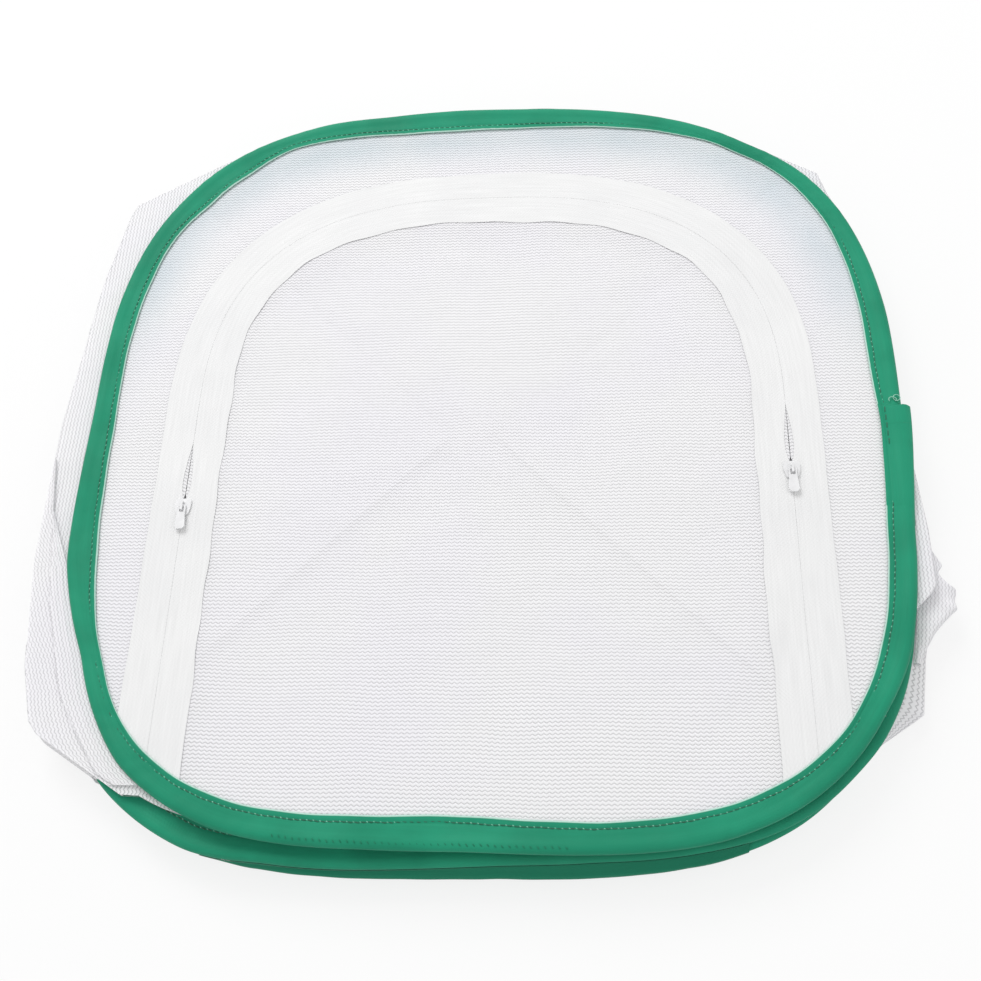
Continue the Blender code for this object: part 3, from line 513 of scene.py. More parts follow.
class Board:
    """Places and links the nodes of one tree."""

    def __init__(self, tree: bpy.types.NodeTree) -> None:
        """Take hold of a node tree."""
        self.tree = tree

    def add(self, kind: str, **settings: object) -> bpy.types.Node:
        """Add a node and set its properties."""
        node = self.tree.nodes.new(kind)
        for key, value in settings.items():
            setattr(node, key, value)
        return node

    def feed(self, socket: Socket, value: object) -> None:
        """Give an input a link or a plain value."""
        if isinstance(value, Socket):
            self.tree.links.new(value, socket)
        else:
            socket.default_value = value

    def math(self, operation: str, *values: object) -> Socket:
        """Add a math node over its inputs."""
        node = self.add("ShaderNodeMath", operation=operation)
        for socket, value in zip(node.inputs, values):
            self.feed(socket, value)
        return node.outputs[0]

    def times(self, first: object, second: object) -> Socket:
        """Multiply two values."""
        return self.math("MULTIPLY", first, second)

    def plus(self, first: object, second: object) -> Socket:
        """Add two values."""
        return self.math("ADD", first, second)

    def minus(self, first: object, second: object) -> Socket:
        """Take the second value from the first."""
        return self.math("SUBTRACT", first, second)

    def off_centre(self, value: object) -> Socket:
        """Distance from the middle of each whole step."""
        return self.math("ABSOLUTE", self.minus(self.math("FRACT", value), 0.5))

    def split(self, vector: Socket) -> Sequence[Socket]:
        """Take a vector apart."""
        node = self.add("ShaderNodeSeparateXYZ")
        self.feed(node.inputs[0], vector)
        return node.outputs

    def ramp(
        self, value: object, low: object, high: object, to_low: float = 0.0, to_high: float = 1.0
    ) -> Socket:
        """Map a range smoothly onto another one."""
        node = self.add("ShaderNodeMapRange", interpolation_type="SMOOTHSTEP")
        for socket, item in zip(node.inputs, (value, low, high, to_low, to_high)):
            self.feed(socket, item)
        return node.outputs[0]

    def noise(self, vector: object, scale: float, detail: float = 2.0) -> Socket:
        """Add a noise texture and return its value."""
        node = self.add("ShaderNodeTexNoise")
        self.feed(node.inputs["Vector"], vector)
        node.inputs["Scale"].default_value = scale
        node.inputs["Detail"].default_value = detail
        return node.outputs[0]

    def mix(self, factor: object, first: object, second: object) -> Socket:
        """Mix two colours."""
        node = self.add("ShaderNodeMix", data_type="RGBA")
        self.feed(node.inputs[0], factor)
        self.feed(node.inputs[6], first)
        self.feed(node.inputs[7], second)
        return node.outputs[2]

    def shade(self, factor: object, first: Socket, second: Socket) -> Socket:
        """Mix two shaders."""
        node = self.add("ShaderNodeMixShader")
        for socket, item in zip(node.inputs, (factor, first, second)):
            self.feed(socket, item)
        return node.outputs[0]


def new_group(name: str, inputs: dict[str, object], outputs: dict[str, str]) -> tuple[Board, object, object]:
    """Start a shader node group with named sockets.

    Args:
        name: Name of the group.
        inputs: Default of each value, or the kind of a vector or colour.
        outputs: Kind of each output.

    Returns:
        A board on the group's tree, the group's inputs and its outputs.
    """
    tree = bpy.data.node_groups.new(name, "ShaderNodeTree")
    for key, given in inputs.items():
        kind = given if isinstance(given, str) else "Float"
        socket = tree.interface.new_socket(key, in_out="INPUT", socket_type=f"NodeSocket{kind}")
        if kind == "Float":
            socket.default_value = given
    for key, kind in outputs.items():
        tree.interface.new_socket(key, in_out="OUTPUT", socket_type=f"NodeSocket{kind}")
    board = Board(tree)
    return board, board.add("NodeGroupInput").outputs, board.add("NodeGroupOutput").inputs


def knit_group() -> bpy.types.NodeTree:
    """Warp knit: rows of small slots that zigzag across the cloth."""
    board, given, out = new_group(
        "knit_rows",
        {"Flat": "Vector", "Row": 0.00175, "Stitch": 0.0025, "Sway": 0.46, "Slot": 0.14},
        {"Cover": "Float", "Height": "Float", "Shade": "Float"},
    )
    flat = board.split(given["Flat"])
    drift = board.noise(given["Flat"], 26.0, 1.0)
    across = board.math("DIVIDE", flat[0], given["Stitch"])
    rows = board.plus(board.math("DIVIDE", flat[1], given["Row"]), board.times(drift, 1.6))
    wave = board.times(board.times(board.off_centre(across), 2.0), given["Sway"])
    gap = board.off_centre(board.plus(rows, wave))
    slot = board.ramp(gap, board.times(given["Slot"], 0.55), board.times(given["Slot"], 1.45), 1.0, 0.0)
    bridge = board.ramp(board.off_centre(board.times(across, 2.0)), 0.36, 0.47, 1.0, 0.55)
    hole = board.times(slot, bridge)
    rib = board.math("SINE", board.times(across, math.tau * 2))
    hump = board.times(board.times(gap, 2.0), board.plus(0.85, board.times(rib, 0.15)))
    thin = board.ramp(board.noise(given["Flat"], 160.0, 2.0), 0.3, 0.7, 0.93, 1.0)
    board.feed(out["Cover"], board.minus(thin, hole))
    board.feed(out["Height"], board.minus(hump, board.times(hole, 0.6)))
    # Slots darken the colour a little: painted shade of the gaps between the yarns
    board.feed(out["Shade"], board.minus(1.0, board.times(hole, 0.10)))
    return board.tree


def weave_group() -> bpy.types.NodeTree:
    """Plain weave with its threads a little uneven."""
    board, given, out = new_group(
        "plain_weave", {"Flat": "Vector", "Thread": 0.0004, "Slub": 0.3},
        {"Height": "Float", "Shade": "Float"},
    )
    waves = []
    for place in board.split(given["Flat"])[:2]:
        turns = board.math("DIVIDE", place, given["Thread"])
        waves.append(board.math("SINE", board.times(turns, math.pi)))
    stretch = board.add("ShaderNodeMapping")
    stretch.inputs["Scale"].default_value = (40.0, 900.0, 1.0)
    board.feed(stretch.inputs["Vector"], given["Flat"])
    slub = board.noise(stretch.outputs[0], 1.0, 2.0)
    uneven = board.times(board.minus(slub, 0.5), given["Slub"])
    board.feed(out["Height"], board.plus(board.times(board.times(*waves), 0.5), uneven))
    board.feed(out["Shade"], board.plus(1.0, uneven))
    return board.tree


def mottle_group() -> bpy.types.NodeTree:
    """Slow change of a colour over cloth, at random from place to place, times a shade factor."""
    board, given, out = new_group(
        "mottle",
        {"Place": "Vector", "Size": 0.05, "Colour": "Color", "Other": "Color", "Shade": 1.0, "Amount": 0.3},
        {"Colour": "Color"},
    )
    spread = board.add("ShaderNodeCombineXYZ")
    for socket in spread.inputs:
        board.feed(socket, given["Size"])
    scaled = board.add("ShaderNodeVectorMath", operation="DIVIDE")
    board.feed(scaled.inputs[0], given["Place"])
    board.feed(scaled.inputs[1], spread.outputs[0])
    cloud = board.ramp(board.noise(scaled.outputs[0], 1.0, 3.0), 0.35, 0.65)
    dim = board.add("ShaderNodeVectorMath", operation="SCALE")
    board.feed(dim.inputs[0], board.mix(board.times(cloud, given["Amount"]), given["Colour"], given["Other"]))
    board.feed(dim.inputs["Scale"], given["Shade"])
    board.feed(out["Colour"], dim.outputs[0])
    return board.tree


class Effects:
    """Shared node groups, each built once."""

    made: dict[str, bpy.types.NodeTree] = {}

    @classmethod
    def get(cls, name: str) -> bpy.types.NodeTree:
        """Group by its short name."""
        makers = {"knit": knit_group, "weave": weave_group, "mottle": mottle_group}
        if name not in cls.made:
            cls.made[name] = makers[name]()
        return cls.made[name]


class MaterialBench:
    """A material under work: its board, its shader and its coordinates."""

    def __init__(self, name: str) -> None:
        """Start a material with a Principled shader."""
        self.material = bpy.data.materials.new(name)
        self.material.use_nodes = True
        self.board = Board(self.material.node_tree)
        self.shader = self.material.node_tree.nodes["Principled BSDF"]
        self.coordinates = self.board.add("ShaderNodeTexCoord")

    @property
    def flat(self) -> Socket:
        """Place on the cloth before it was sewn, in metres."""
        return self.coordinates.outputs["UV"]

    @property
    def place(self) -> Socket:
        """Place in the cage, in metres."""
        return self.coordinates.outputs["Object"]

    def effect(self, name: str, **values: object) -> bpy.types.Node:
        """Place a shared effect with its values."""
        node = self.board.add("ShaderNodeGroup", node_tree=Effects.get(name))
        for key, value in values.items():
            self.board.feed(node.inputs[key.capitalize()], value)
        return node

    def dye(self, colour: tuple, other: tuple, size: float, amount: float, shade: object = 1.0) -> Socket:
        """Colour that wanders slowly to another one over the piece."""
        values = {"colour": colour, "other": other, "size": size, "amount": amount, "shade": shade}
        return self.effect("mottle", place=self.place, **values).outputs["Colour"]

    def feed(self, key: str, value: Socket) -> None:
        """Feed one input of the shader."""
        self.board.feed(self.shader.inputs[key], value)

    def rough(self, cloud: Socket, low: float, high: float) -> None:
        """Let the roughness wander between two values."""
        self.feed("Roughness", self.board.ramp(cloud, 0.3, 0.7, low, high))

    def plain(self, **values: float) -> None:
        """Set values that are the same all over on the shader's own sockets."""
        for key, value in values.items():
            self.shader.inputs[key.replace("_", " ").title().replace("Ior", "IOR")].default_value = value

    def bump(self, height: Socket, distance: float, strength: float) -> None:
        """Feed a height into the shader's normal."""
        node = self.board.add("ShaderNodeBump")
        node.inputs["Distance"].default_value = distance
        node.inputs["Strength"].default_value = strength
        self.board.feed(node.inputs["Height"], height)
        self.feed("Normal", node.outputs[0])


@dataclass(frozen=True)
class KnitFinish:
    """Sheer white knit of the panels and walls."""

    name: str = "knit_white"
    colour: tuple = (0.945, 0.936, 0.968, 1.0)
    other: tuple = (0.955, 0.952, 0.960, 1.0)
    yarn_cover: float = 0.88
    slot_cover: float = 0.60
    row: float = 0.00175
    shown_hoops: float = 0.0

    def hoops_beneath(self, bench: MaterialBench) -> Socket:
        """Mask of the painted shade along the net's far rim, a bluish grey that stands in for the shaded
        lower hoops seen through the net.
        """
        board = bench.board
        place = board.split(bench.place)
        powers = []
        for axis in (0, 1):
            share = board.math("ABSOLUTE", board.math("DIVIDE", place[axis], HOOP_HALF))
            powers.append(board.math("POWER", share, HOOP_EXPONENT))
        rim = board.times(board.ramp(board.plus(*powers), 0.52, 0.80), board.ramp(place[1], 0.02, 0.11))
        least, most = 0.6 * self.shown_hoops, self.shown_hoops
        return board.times(rim, board.ramp(board.noise(bench.place, 22.0, 4.0), 0.30, 0.70, least, most))

    def material(self) -> bpy.types.Material:
        """Build the finish."""
        bench = MaterialBench(self.name)
        knit = bench.effect("knit", flat=bench.flat, row=self.row)
        # The knit's Shade darkens its slots as painted shade
        cloth = bench.dye(self.colour, self.other, 0.06, 0.8, knit.outputs["Shade"])
        # Painted shade: a bluish grey mixed in along the far rim of the net
        if self.shown_hoops:
            cloth = bench.board.mix(self.hoops_beneath(bench), cloth, PAINTED_RIM_SHADE_COLOUR)
        bench.feed("Base Color", cloth)
        cover = bench.board.ramp(knit.outputs["Cover"], 0.0, 1.0, self.slot_cover, self.yarn_cover)
        bench.feed("Alpha", cover)
        bench.bump(knit.outputs["Height"], 0.0003, 0.35)
        bench.plain(roughness=0.85, specular_ior_level=0.15, sheen_weight=0.15, sheen_roughness=0.5)
        return bench.material


@dataclass(frozen=True)
class WovenFinish:
    """Closely woven cloth: binding tape, seam tape and zip tape."""

    name: str
    colour: tuple
    other: tuple
    thread: float = 0.0004
    amount: float = 0.5
    roughness: float = 0.62
    sheen: float = 0.10
    relief: float = 0.00012
    pale_edge: float = 0.0

    def material(self) -> bpy.types.Material:
        """Build the finish."""
        bench = MaterialBench(self.name)
        weave = bench.effect("weave", flat=bench.flat, thread=self.thread, slub=0.16)
        cloth = bench.dye(self.colour, self.other, 0.035, self.amount, weave.outputs["Shade"])
        # Painted highlight: a pale line along the tape's inner edge
        if self.pale_edge:
            across = bench.board.split(bench.flat)[1]
            edge_highlight_mask = bench.board.ramp(across, self.pale_edge * 0.6, self.pale_edge, 0.8, 0.0)
            cloth = bench.board.mix(edge_highlight_mask, cloth, GREEN_EDGE_HIGHLIGHT)
        bench.feed("Base Color", cloth)
        bench.rough(bench.board.noise(bench.place, 45.0), self.roughness - 0.06, self.roughness + 0.06)
        bench.bump(weave.outputs["Height"], self.relief, 0.5)
        bench.plain(specular_ior_level=0.22, sheen_weight=self.sheen, sheen_roughness=0.4)
        return bench.material


@dataclass(frozen=True)
class HardFinish:
    """Moulded nylon, enamelled sliders and metal."""

    name: str
    colour: tuple
    roughness: float
    metallic: float = 0.0
    coat: float = 0.0
    grain: float = 900.0

    def material(self) -> bpy.types.Material:
        """Build the finish."""
        bench = MaterialBench(self.name)
        speck = bench.board.noise(bench.place, self.grain, 3.0)
        darker = tuple(0.86 * value for value in self.colour[:3]) + (1.0,)
        bench.feed("Base Color", bench.dye(self.colour, darker, 0.004, 0.5))
        bench.rough(speck, self.roughness * 0.85, self.roughness * 1.15)
        bench.bump(speck, 0.00004, 0.3)
        bench.plain(metallic=self.metallic, coat_weight=self.coat)
        return bench.material


@dataclass(frozen=True)
class ThreadFinish:
    """Twisted sewing thread."""

    name: str
    colour: tuple
    other: tuple

    def material(self) -> bpy.types.Material:
        """Build the finish."""
        bench = MaterialBench(self.name)
        wave = bench.board.add("ShaderNodeTexWave", wave_type="BANDS", bands_direction="DIAGONAL")
        bench.board.feed(wave.inputs["Vector"], bench.place)
        wave.inputs["Scale"].default_value = 900.0
        wave.inputs["Distortion"].default_value = 1.5
        share = bench.board.times(wave.outputs["Fac"], 0.6)
        bench.feed("Base Color", bench.board.mix(share, self.colour, self.other))
        bench.bump(wave.outputs["Fac"], 0.00005, 0.6)
        bench.plain(roughness=0.6, sheen_weight=0.2)
        return bench.material


class Wardrobe:
    """Every finish of the cage, built when it is first asked for."""

    finishes = {
        "knit": KnitFinish(),
        # Knit with a painted shade along its far rim
        "knit_over": KnitFinish("knit_white_over_hoops", shown_hoops=0.9),
        # The binding carries a painted highlight along its inner edge
        "binding": WovenFinish("binding_green", GREEN, GREEN_DEEP, pale_edge=0.0012),
        # Seam tapes in a darker green, a painted shade
        "seam": WovenFinish("seam_green", GREEN_SEAM_SHADED, GREEN_DEEP, amount=0.3),
        "zip_tape": WovenFinish("zip_tape_white", TAPE_WHITE, TAPE_SHADE, 0.0009, roughness=0.8, sheen=0.0),
        "nylon": HardFinish("nylon_white", (0.84, 0.85, 0.86, 1.0), 0.38),
        "enamel": HardFinish("enamel_white", (0.83, 0.83, 0.84, 1.0), 0.45, coat=0.05),
        "steel": HardFinish("steel_wire", (0.42, 0.42, 0.43, 1.0), 0.30, 1.0),
        "sleeve": HardFinish("sleeve_brass", (0.52, 0.47, 0.38, 1.0), 0.38, 1.0),
        # Stitch thread darkened with painted groove shade
        "green_thread": ThreadFinish("thread_green", GREEN_THREAD_SHADED, GREEN_SEAM_SHADED),
        # Pale thread, which on the stitch rows is a painted highlight
        "pale_thread": ThreadFinish("thread_pale", GREEN_PALE_THREAD_AND_HIGHLIGHT, GREEN),
    }
    made: dict[str, bpy.types.Material] = {}

    @classmethod
    def dress(cls, obj: Piece, finish: str) -> Piece:
        """Give an object one finish in place of all it has."""
        if finish not in cls.made:
            cls.made[finish] = cls.finishes[finish].material()
        if "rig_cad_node" in obj:
            for slot in obj.material_slots:
                slot.material = cls.made[finish]
        else:
            obj.data.materials.clear()
            obj.data.materials.append(cls.made[finish])
        return obj


def place_piece(obj: Piece, finish: str, body: str = "", nodes: Sequence[str] = ()) -> Piece:
    """Dress a piece, hang it on its body and let it stand for its nodes.

    Args:
        obj: The finished piece.
        finish: Name of its finish.
        body: Body it rides on, or nothing for a piece that rides on no body.
        nodes: Nodes of the frame that it stands for.

    Returns:
        The same piece.
    """
    Wardrobe.dress(obj, finish)
    if body:
        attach(obj, body)
    if nodes:
        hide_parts(*nodes)
    log.info("%s: %s on %s", obj.name, finish, body or "two bodies")
    return obj


@dataclass(frozen=True)
class HoopLine:
    """Outer edge of one hoop in the cage, and the inner edge of its tape."""

    centre: tuple[float, float]
    rim: Reads = ()
    lip: Reads = ()
    low: bool = False

    def ring(self, count: int) -> Stations:
        """Evenly spaced stations round the hoop; the last one equals the first.

        Args:
            count: Number of steps round the hoop.

        Returns:
            Points, outward normals and distance along the edge.
        """
        angle = np.linspace(0, math.tau, 8001)
        turned = np.column_stack([np.cos(angle), np.sin(angle)])
        points, along = even(HOOP_HALF * signed_power(turned, 2 / HOOP_EXPONENT), count + 1)
        points[-1] = points[0]
        normals = signed_power(points / HOOP_HALF, HOOP_EXPONENT - 1)
        normals /= np.linalg.norm(normals, axis=1)[:, None]
        push = stray(along / along[-1], self.rim)
        push[-1] = push[0]
        return points + normals * push[:, None] + np.array(self.centre), normals, along

    def width(self, share: Array) -> Array:
        """Width of the folded tape at shares of the outline."""
        own_rim = stray(share, self.rim) * bool(self.lip)
        return np.maximum(BINDING_WIDTH + own_rim - stray(share, self.lip), LEAST_BINDING_WIDTH)

    def inset(self, distance: float, count: int = 480) -> Array:
        """Closed edge that runs inside the hoop."""
        points, normals, _ = self.ring(count)
        return points - normals * distance

    def edge_at(self, axis: int, hand: int, places: Array) -> Array:
        """Distance from the hoop's middle to its edge across one axis, at places along the other."""
        points = self.ring(2400)[0] - np.array(self.centre)
        own = points[points[:, axis] * hand > 0]
        own = own[np.argsort(own[:, 1 - axis])]
        return hand * np.interp(places, own[:, 1 - axis], own[:, axis])

    def cloth_reach(self, side: Side, y: Array, tuck: float = EAR_TUCK) -> Array:
        """Half width out to the cloth's edge, which ends under the hoop where it isn't seen."""
        return np.maximum(side.cloth_edge(y, self.low), self.edge_at(0, side.value, y) - tuck)


def ray_reach(origins: Array, directions: Array, ring: Array) -> Array:
    """How far rays run before they cross a closed ring of points."""
    start, step = ring[:-1], np.diff(ring, axis=0)
    turn = directions[:, None, 0] * step[None, :, 1] - directions[:, None, 1] * step[None, :, 0]
    turn = np.where(np.abs(turn) < 1e-12, 1e-12, turn)
    gap = start[None] - origins[:, None]
    along = (gap[..., 0] * step[None, :, 1] - gap[..., 1] * step[None, :, 0]) / turn
    share = (gap[..., 0] * directions[:, None, 1] - gap[..., 1] * directions[:, None, 0]) / turn
    good = (share >= -1e-9) & (share <= 1 + 1e-9) & (along > -1e-6)
    found = np.where(good, along, np.inf).min(axis=1)
    return np.where(np.isfinite(found), np.maximum(found, 0.0), 0.0)


@dataclass
class HoopPanel:
    """One hoop with its folded binding, spring wire, stitches and knitted sheet."""

    name: str
    inside: int
    rim: Reads = ()
    lip: Reads = ()
    sag: float = 0.0
    low: bool = False
    stations: int = 900
    stitch_pitch: float = 0.0030
    line: HoopLine = field(init=False)
    middle: float = field(init=False)

    # Section of the folded tape, in mm: distance outward and height
    outer_profile = (
        (-13.65, 0.66), (-13.78, 0.86), (-13.62, 1.06), (-13.0, 1.14), (-11.9, 1.16), (-11.1, 1.05),
        (-10.7, 0.90), (-10.3, 1.05), (-9.3, 1.24), (-7.8, 1.34), (-6.6, 1.50), (-5.5, 1.84), (-4.5, 2.16),
        (-3.4, 2.30), (-2.3, 2.22), (-1.3, 1.86), (-0.5, 1.20), (-0.06, 0.50),
    )
    inner_profile = (
        (-0.62, 0.30), (-1.5, 1.30), (-2.9, 1.62), (-4.3, 1.40), (-5.6, 0.62), (-9.0, 0.52), (-13.6, 0.52),
    )

    def __post_init__(self) -> None:
        """Take the hoop's place from the frame."""
        x, y, self.middle = box_middle(f"{self.name}_mesh" if self.name != "front" else "front_binding")
        self.line = HoopLine((x, y), self.rim, self.lip, self.low)

    def profile(self) -> Array:
        """Closed section of the binding, as distance outward and height."""
        outer, inner = np.array(self.outer_profile), np.array(self.inner_profile)
        down = np.array((1.0, -1.0))
        return np.concatenate([outer, outer[::-1] * down, inner[::-1] * down, inner, outer[:1]]) * MM

    def fit_width(self, out: Array, share: Array) -> Array:
        """Distances outward with the lips drawn in or out to the tape's own width."""
        scale = (self.line.width(share) - BEAD_WIDTH) / (BINDING_WIDTH - BEAD_WIDTH)
        return np.where(out < -BEAD_WIDTH, -BEAD_WIDTH + (out + BEAD_WIDTH) * scale, out)

    @staticmethod
    def slack(u: Array, v: Array) -> Array:
        """Share of a sheet's sag at places round its middle, 0 at its hems."""
        gone = np.abs(u / NET_HALF) ** HOOP_EXPONENT + np.abs(v / NET_HALF) ** HOOP_EXPONENT
        return np.clip(1 - gone, 0, 1) ** 0.6

    def relief(self, x: Array, y: Array) -> Array:
        """Rise and fall of the knitted sheet between its hems."""
        slack = self.slack(x - self.line.centre[0], y - self.line.centre[1])
        turn = 1.3 * self.middle / 0.01
        return slack * (self.sag + 0.35 * MM * crumple(x, y, 0.11, turn))

    def sheet_level(self, x: Array, y: Array) -> Array:
        """Level of the knitted sheet."""
        return self.middle + self.relief(x, y)

    def make_binding(self) -> Piece:
        """Sweep the folded tape round the hoop, with its creases."""
        points, normals, along = self.line.ring(self.stations)
        section = self.profile()
        out, up = section[:, 0][None], section[:, 1][None]
        s = along[:, None]
        local = points - np.array(self.line.centre)
        corner = np.clip(np.minimum(np.abs(local[:, 0]), np.abs(local[:, 1])) / 0.15 - 0.35, 0, 1)[:, None]
        seed = self.middle * 300
        shell = np.clip((np.abs(up) - 0.0006) / 0.0006, 0, 1)
        round_trip = math.tau * s / along[-1]
        slow = np.sin(11 * round_trip + seed) + np.sin(19 * round_trip + 2 * seed)
        slow = slow + 0.7 * np.sin(31 * round_trip + 3 * seed)
        creases = np.sin(149 * round_trip + out * 420 + seed) * np.sin(23 * round_trip + seed) ** 2
        pucker = np.sin(257 * round_trip + out * 700 + 2 * seed) * np.sin(13 * round_trip) ** 2
        lip = np.clip((-out - 0.005) / 0.006, 0, 1)
        bulge = 0.07 * MM * slow + 0.22 * MM * corner * creases + 0.13 * MM * lip * pucker
        rise = up + np.sign(up) * shell * bulge
        wander = 0.06 * MM * lip * (slow + 1.5 * np.sin(43 * round_trip + np.sign(up) * 2))
        x, y = points.T[:, :, None] + normals.T[:, :, None] * (self.fit_width(out, s / along[-1]) + wander)
        grid = together(x, y, self.middle + rise)
        grid[-1] = grid[0]
        grid[:, -1] = grid[:, 0]
        uvs = together(s, walked(section)[None])
        obj = loom(f"{self.name}_binding_tape", grid, uvs, merge=1e-7, solid=True)
        return place_piece(obj, "binding", self.name, [f"{self.name}_binding"])

    def make_wire(self) -> Piece:
        """Spring wire in the bead, open where the sleeve joins its ends."""
        points, normals, along = self.line.ring(self.stations // 2)
        share = along / along[-1]
        sleeve = 0.25
        home = np.exp(-(((share - sleeve) / 0.018) ** 2))
        core = points - normals * (BEAD_WIDTH / 2 + stray(share, self.rim) * home)[:, None]
        first = int(np.argmin(np.abs(share - sleeve)))
        order = np.concatenate([np.arange(first, len(core) - 1), np.arange(0, first + 1)])[1:-1]
        path = np.column_stack([core[order], np.full(len(order), self.middle)])
        wire = tube(f"{self.name}_spring_wire", path, WIRE_RADIUS, 10)
        return place_piece(wire, "steel", self.name, [f"{self.name}_wire"])

    def stitch_row(
        self, name: str, finish: str, hand: int, inset: float, size: tuple[float, float],
        shift: float = 0.0, shares: tuple[float, float] = (0.0, 1.0), slant: float = 0.08, bead: bool = False,
    ) -> Piece:
        """Row of short sunk stitches along one face of the binding.

        Args:
            name: End of the row's name.
            finish: Thread's finish.
            hand: 1 for the upper face and -1 for the lower one.
            inset: Distance of the row from the tape's inner edge, or from its rim on the bead.
            size: Half width and half length of one stitch.
            shift: How far the stitches are moved along, as a share of their pitch.
            shares: First and last place of the row on the outline.
            slant: How much a stitch turns from the row.
            bead: Whether the row lies on the bead.

        Returns:
            The row.
        """
        points, normals, along = self.line.ring(int(1.36 / self.stitch_pitch) * 4)
        share = along / along[-1]
        pick = np.arange(int(4 * shift), len(points) - 1, 4)
        pick = pick[(share[pick] >= shares[0]) & (share[pick] <= shares[1])]
        points, normals, share = points[pick], normals[pick], share[pick]
        back = np.full(len(pick), inset) if bead else self.line.width(share) - inset
        row = points - normals * (back + 0.00012 * np.sin(np.arange(len(pick)) * 1.3))[:, None]
        tangent = np.stack([-normals[:, 1], normals[:, 0], 0 * share], axis=1)
        level = np.full(len(pick), self.middle + hand * (BEAD_STITCH_RISE if bead else STITCH_RISE))
        tilt = tangent + np.column_stack([normals, 0 * level]) * slant
        bpy.ops.object.select_all(action="DESELECT")
        bpy.ops.mesh.primitive_uv_sphere_add(segments=6, ring_count=5, radius=1.0)
        stitch = bpy.context.active_object
        bpy.ops.transform.resize(value=(size[0], size[0], size[1]))
        bpy.ops.transform.rotate(value=math.pi / 2, orient_axis="Y", center_override=(0, 0, 0))
        bpy.ops.object.transform_apply(location=True, rotation=True, scale=True)
        frames = frames_along(np.column_stack([row, level]), tilt, hand)
        return place_piece(copies(f"{self.name}_{name}", stitch, frames), finish, self.name)

    def make_stitches(self) -> list[Piece]:
        """Lockstitch on both faces: sunk stitches whose dark green is partly painted shade of the needle
        grooves, with pale thread specks between them that are painted highlights.
        """
        rows = []
        dark, light = (0.00030, 0.00118), (0.00020, 0.00042)
        for hand, word in ((1, "upper"), (-1, "lower")):
            # Dark stitches: thread green deepened by painted shade of the needle grooves
            rows.append(self.stitch_row(f"stitches_{word}", "green_thread", hand, 0.0030, dark))
            # Pale specks between the stitches: painted highlights
            rows.append(self.stitch_row(f"thread_{word}", "pale_thread", hand, 0.0028, light, 0.5, slant=0.5))
        return rows

    def make_sheet(self) -> Piece:
        """Knitted sheet of the whole panel."""
        edge = self.line.inset(MESH_INSET)
        obj = star_sheet(f"{self.name}_net", edge, self.line.centre, self.sheet_level, flip=self.inside > 0)
        return place_piece(obj, "knit", self.name, [f"{self.name}_mesh"])

    def make_hoop(self) -> list[Piece]:
        """Everything of the hoop but its sheet."""
        Wardrobe.dress(frame["nodes"][f"{self.name}_ferrule"], "sleeve")
        return [self.make_binding(), self.make_wire(), *self.make_stitches()]

    def build(self) -> None:
        """Build the panel and its sheet."""
        trims = self.make_hoop()
        sheet = self.make_sheet()


@dataclass
class ZipTrack:
    """U of the zip: its stations and the shape of its edges."""

    centre: tuple[float, float]
    hem: float

    def line(self, count: int, rise: float = 0.0) -> Stations:
        """Evenly spaced stations from the left hem over the arch to the right hem.

        Args:
            count: Number of stations.
            rise: How far above the hem both legs start.

        Returns:
            Points relative to the panel's middle, outward normals and distance along.
        """
        angle = np.linspace(math.pi, 0, 3001)
        across = ZIP_HALF_SPAN * signed_power(np.cos(angle), 2 / ZIP_ARCH_EXPONENT)
        height = ZIP_ARCH_RISE * np.abs(np.sin(angle)) ** (2 / ZIP_ARCH_EXPONENT) + ZIP_LEG_TOP
        start = self.hem + rise
        arch = np.column_stack([across, height])
        path = np.concatenate([[(-ZIP_HALF_SPAN, start)], arch, [(ZIP_HALF_SPAN, start)]])
        points, along = even(path, count)
        return points, side_normals(points), along

    def slit(self, points: Array, leaf: float = LEAF_HALF) -> Array:
        """Half width of the slit: closed but at the sliders and in the two leaf openings."""
        x, y = points.T
        share = np.clip((y - np.where(x < 0, Side.LEFT.fold_y, Side.RIGHT.fold_y)) / LEAF_LENGTH, 0, 1)
        away = np.abs(y - np.where(x < 0, Side.LEFT.slider_y, Side.RIGHT.slider_y))
        ease = 0.003
        spread = (SLIDER_SLIT_HALF - SLIT_HALF) * smooth((SLIDER_HALF_LENGTH + ease - away) / ease)
        return SLIT_HALF + spread + leaf * np.sin(math.pi * share**LEAF_SKEW)

    def world(self, points: Array) -> Array:
        """Points moved to the panel's place."""
        return points + np.array(self.centre)


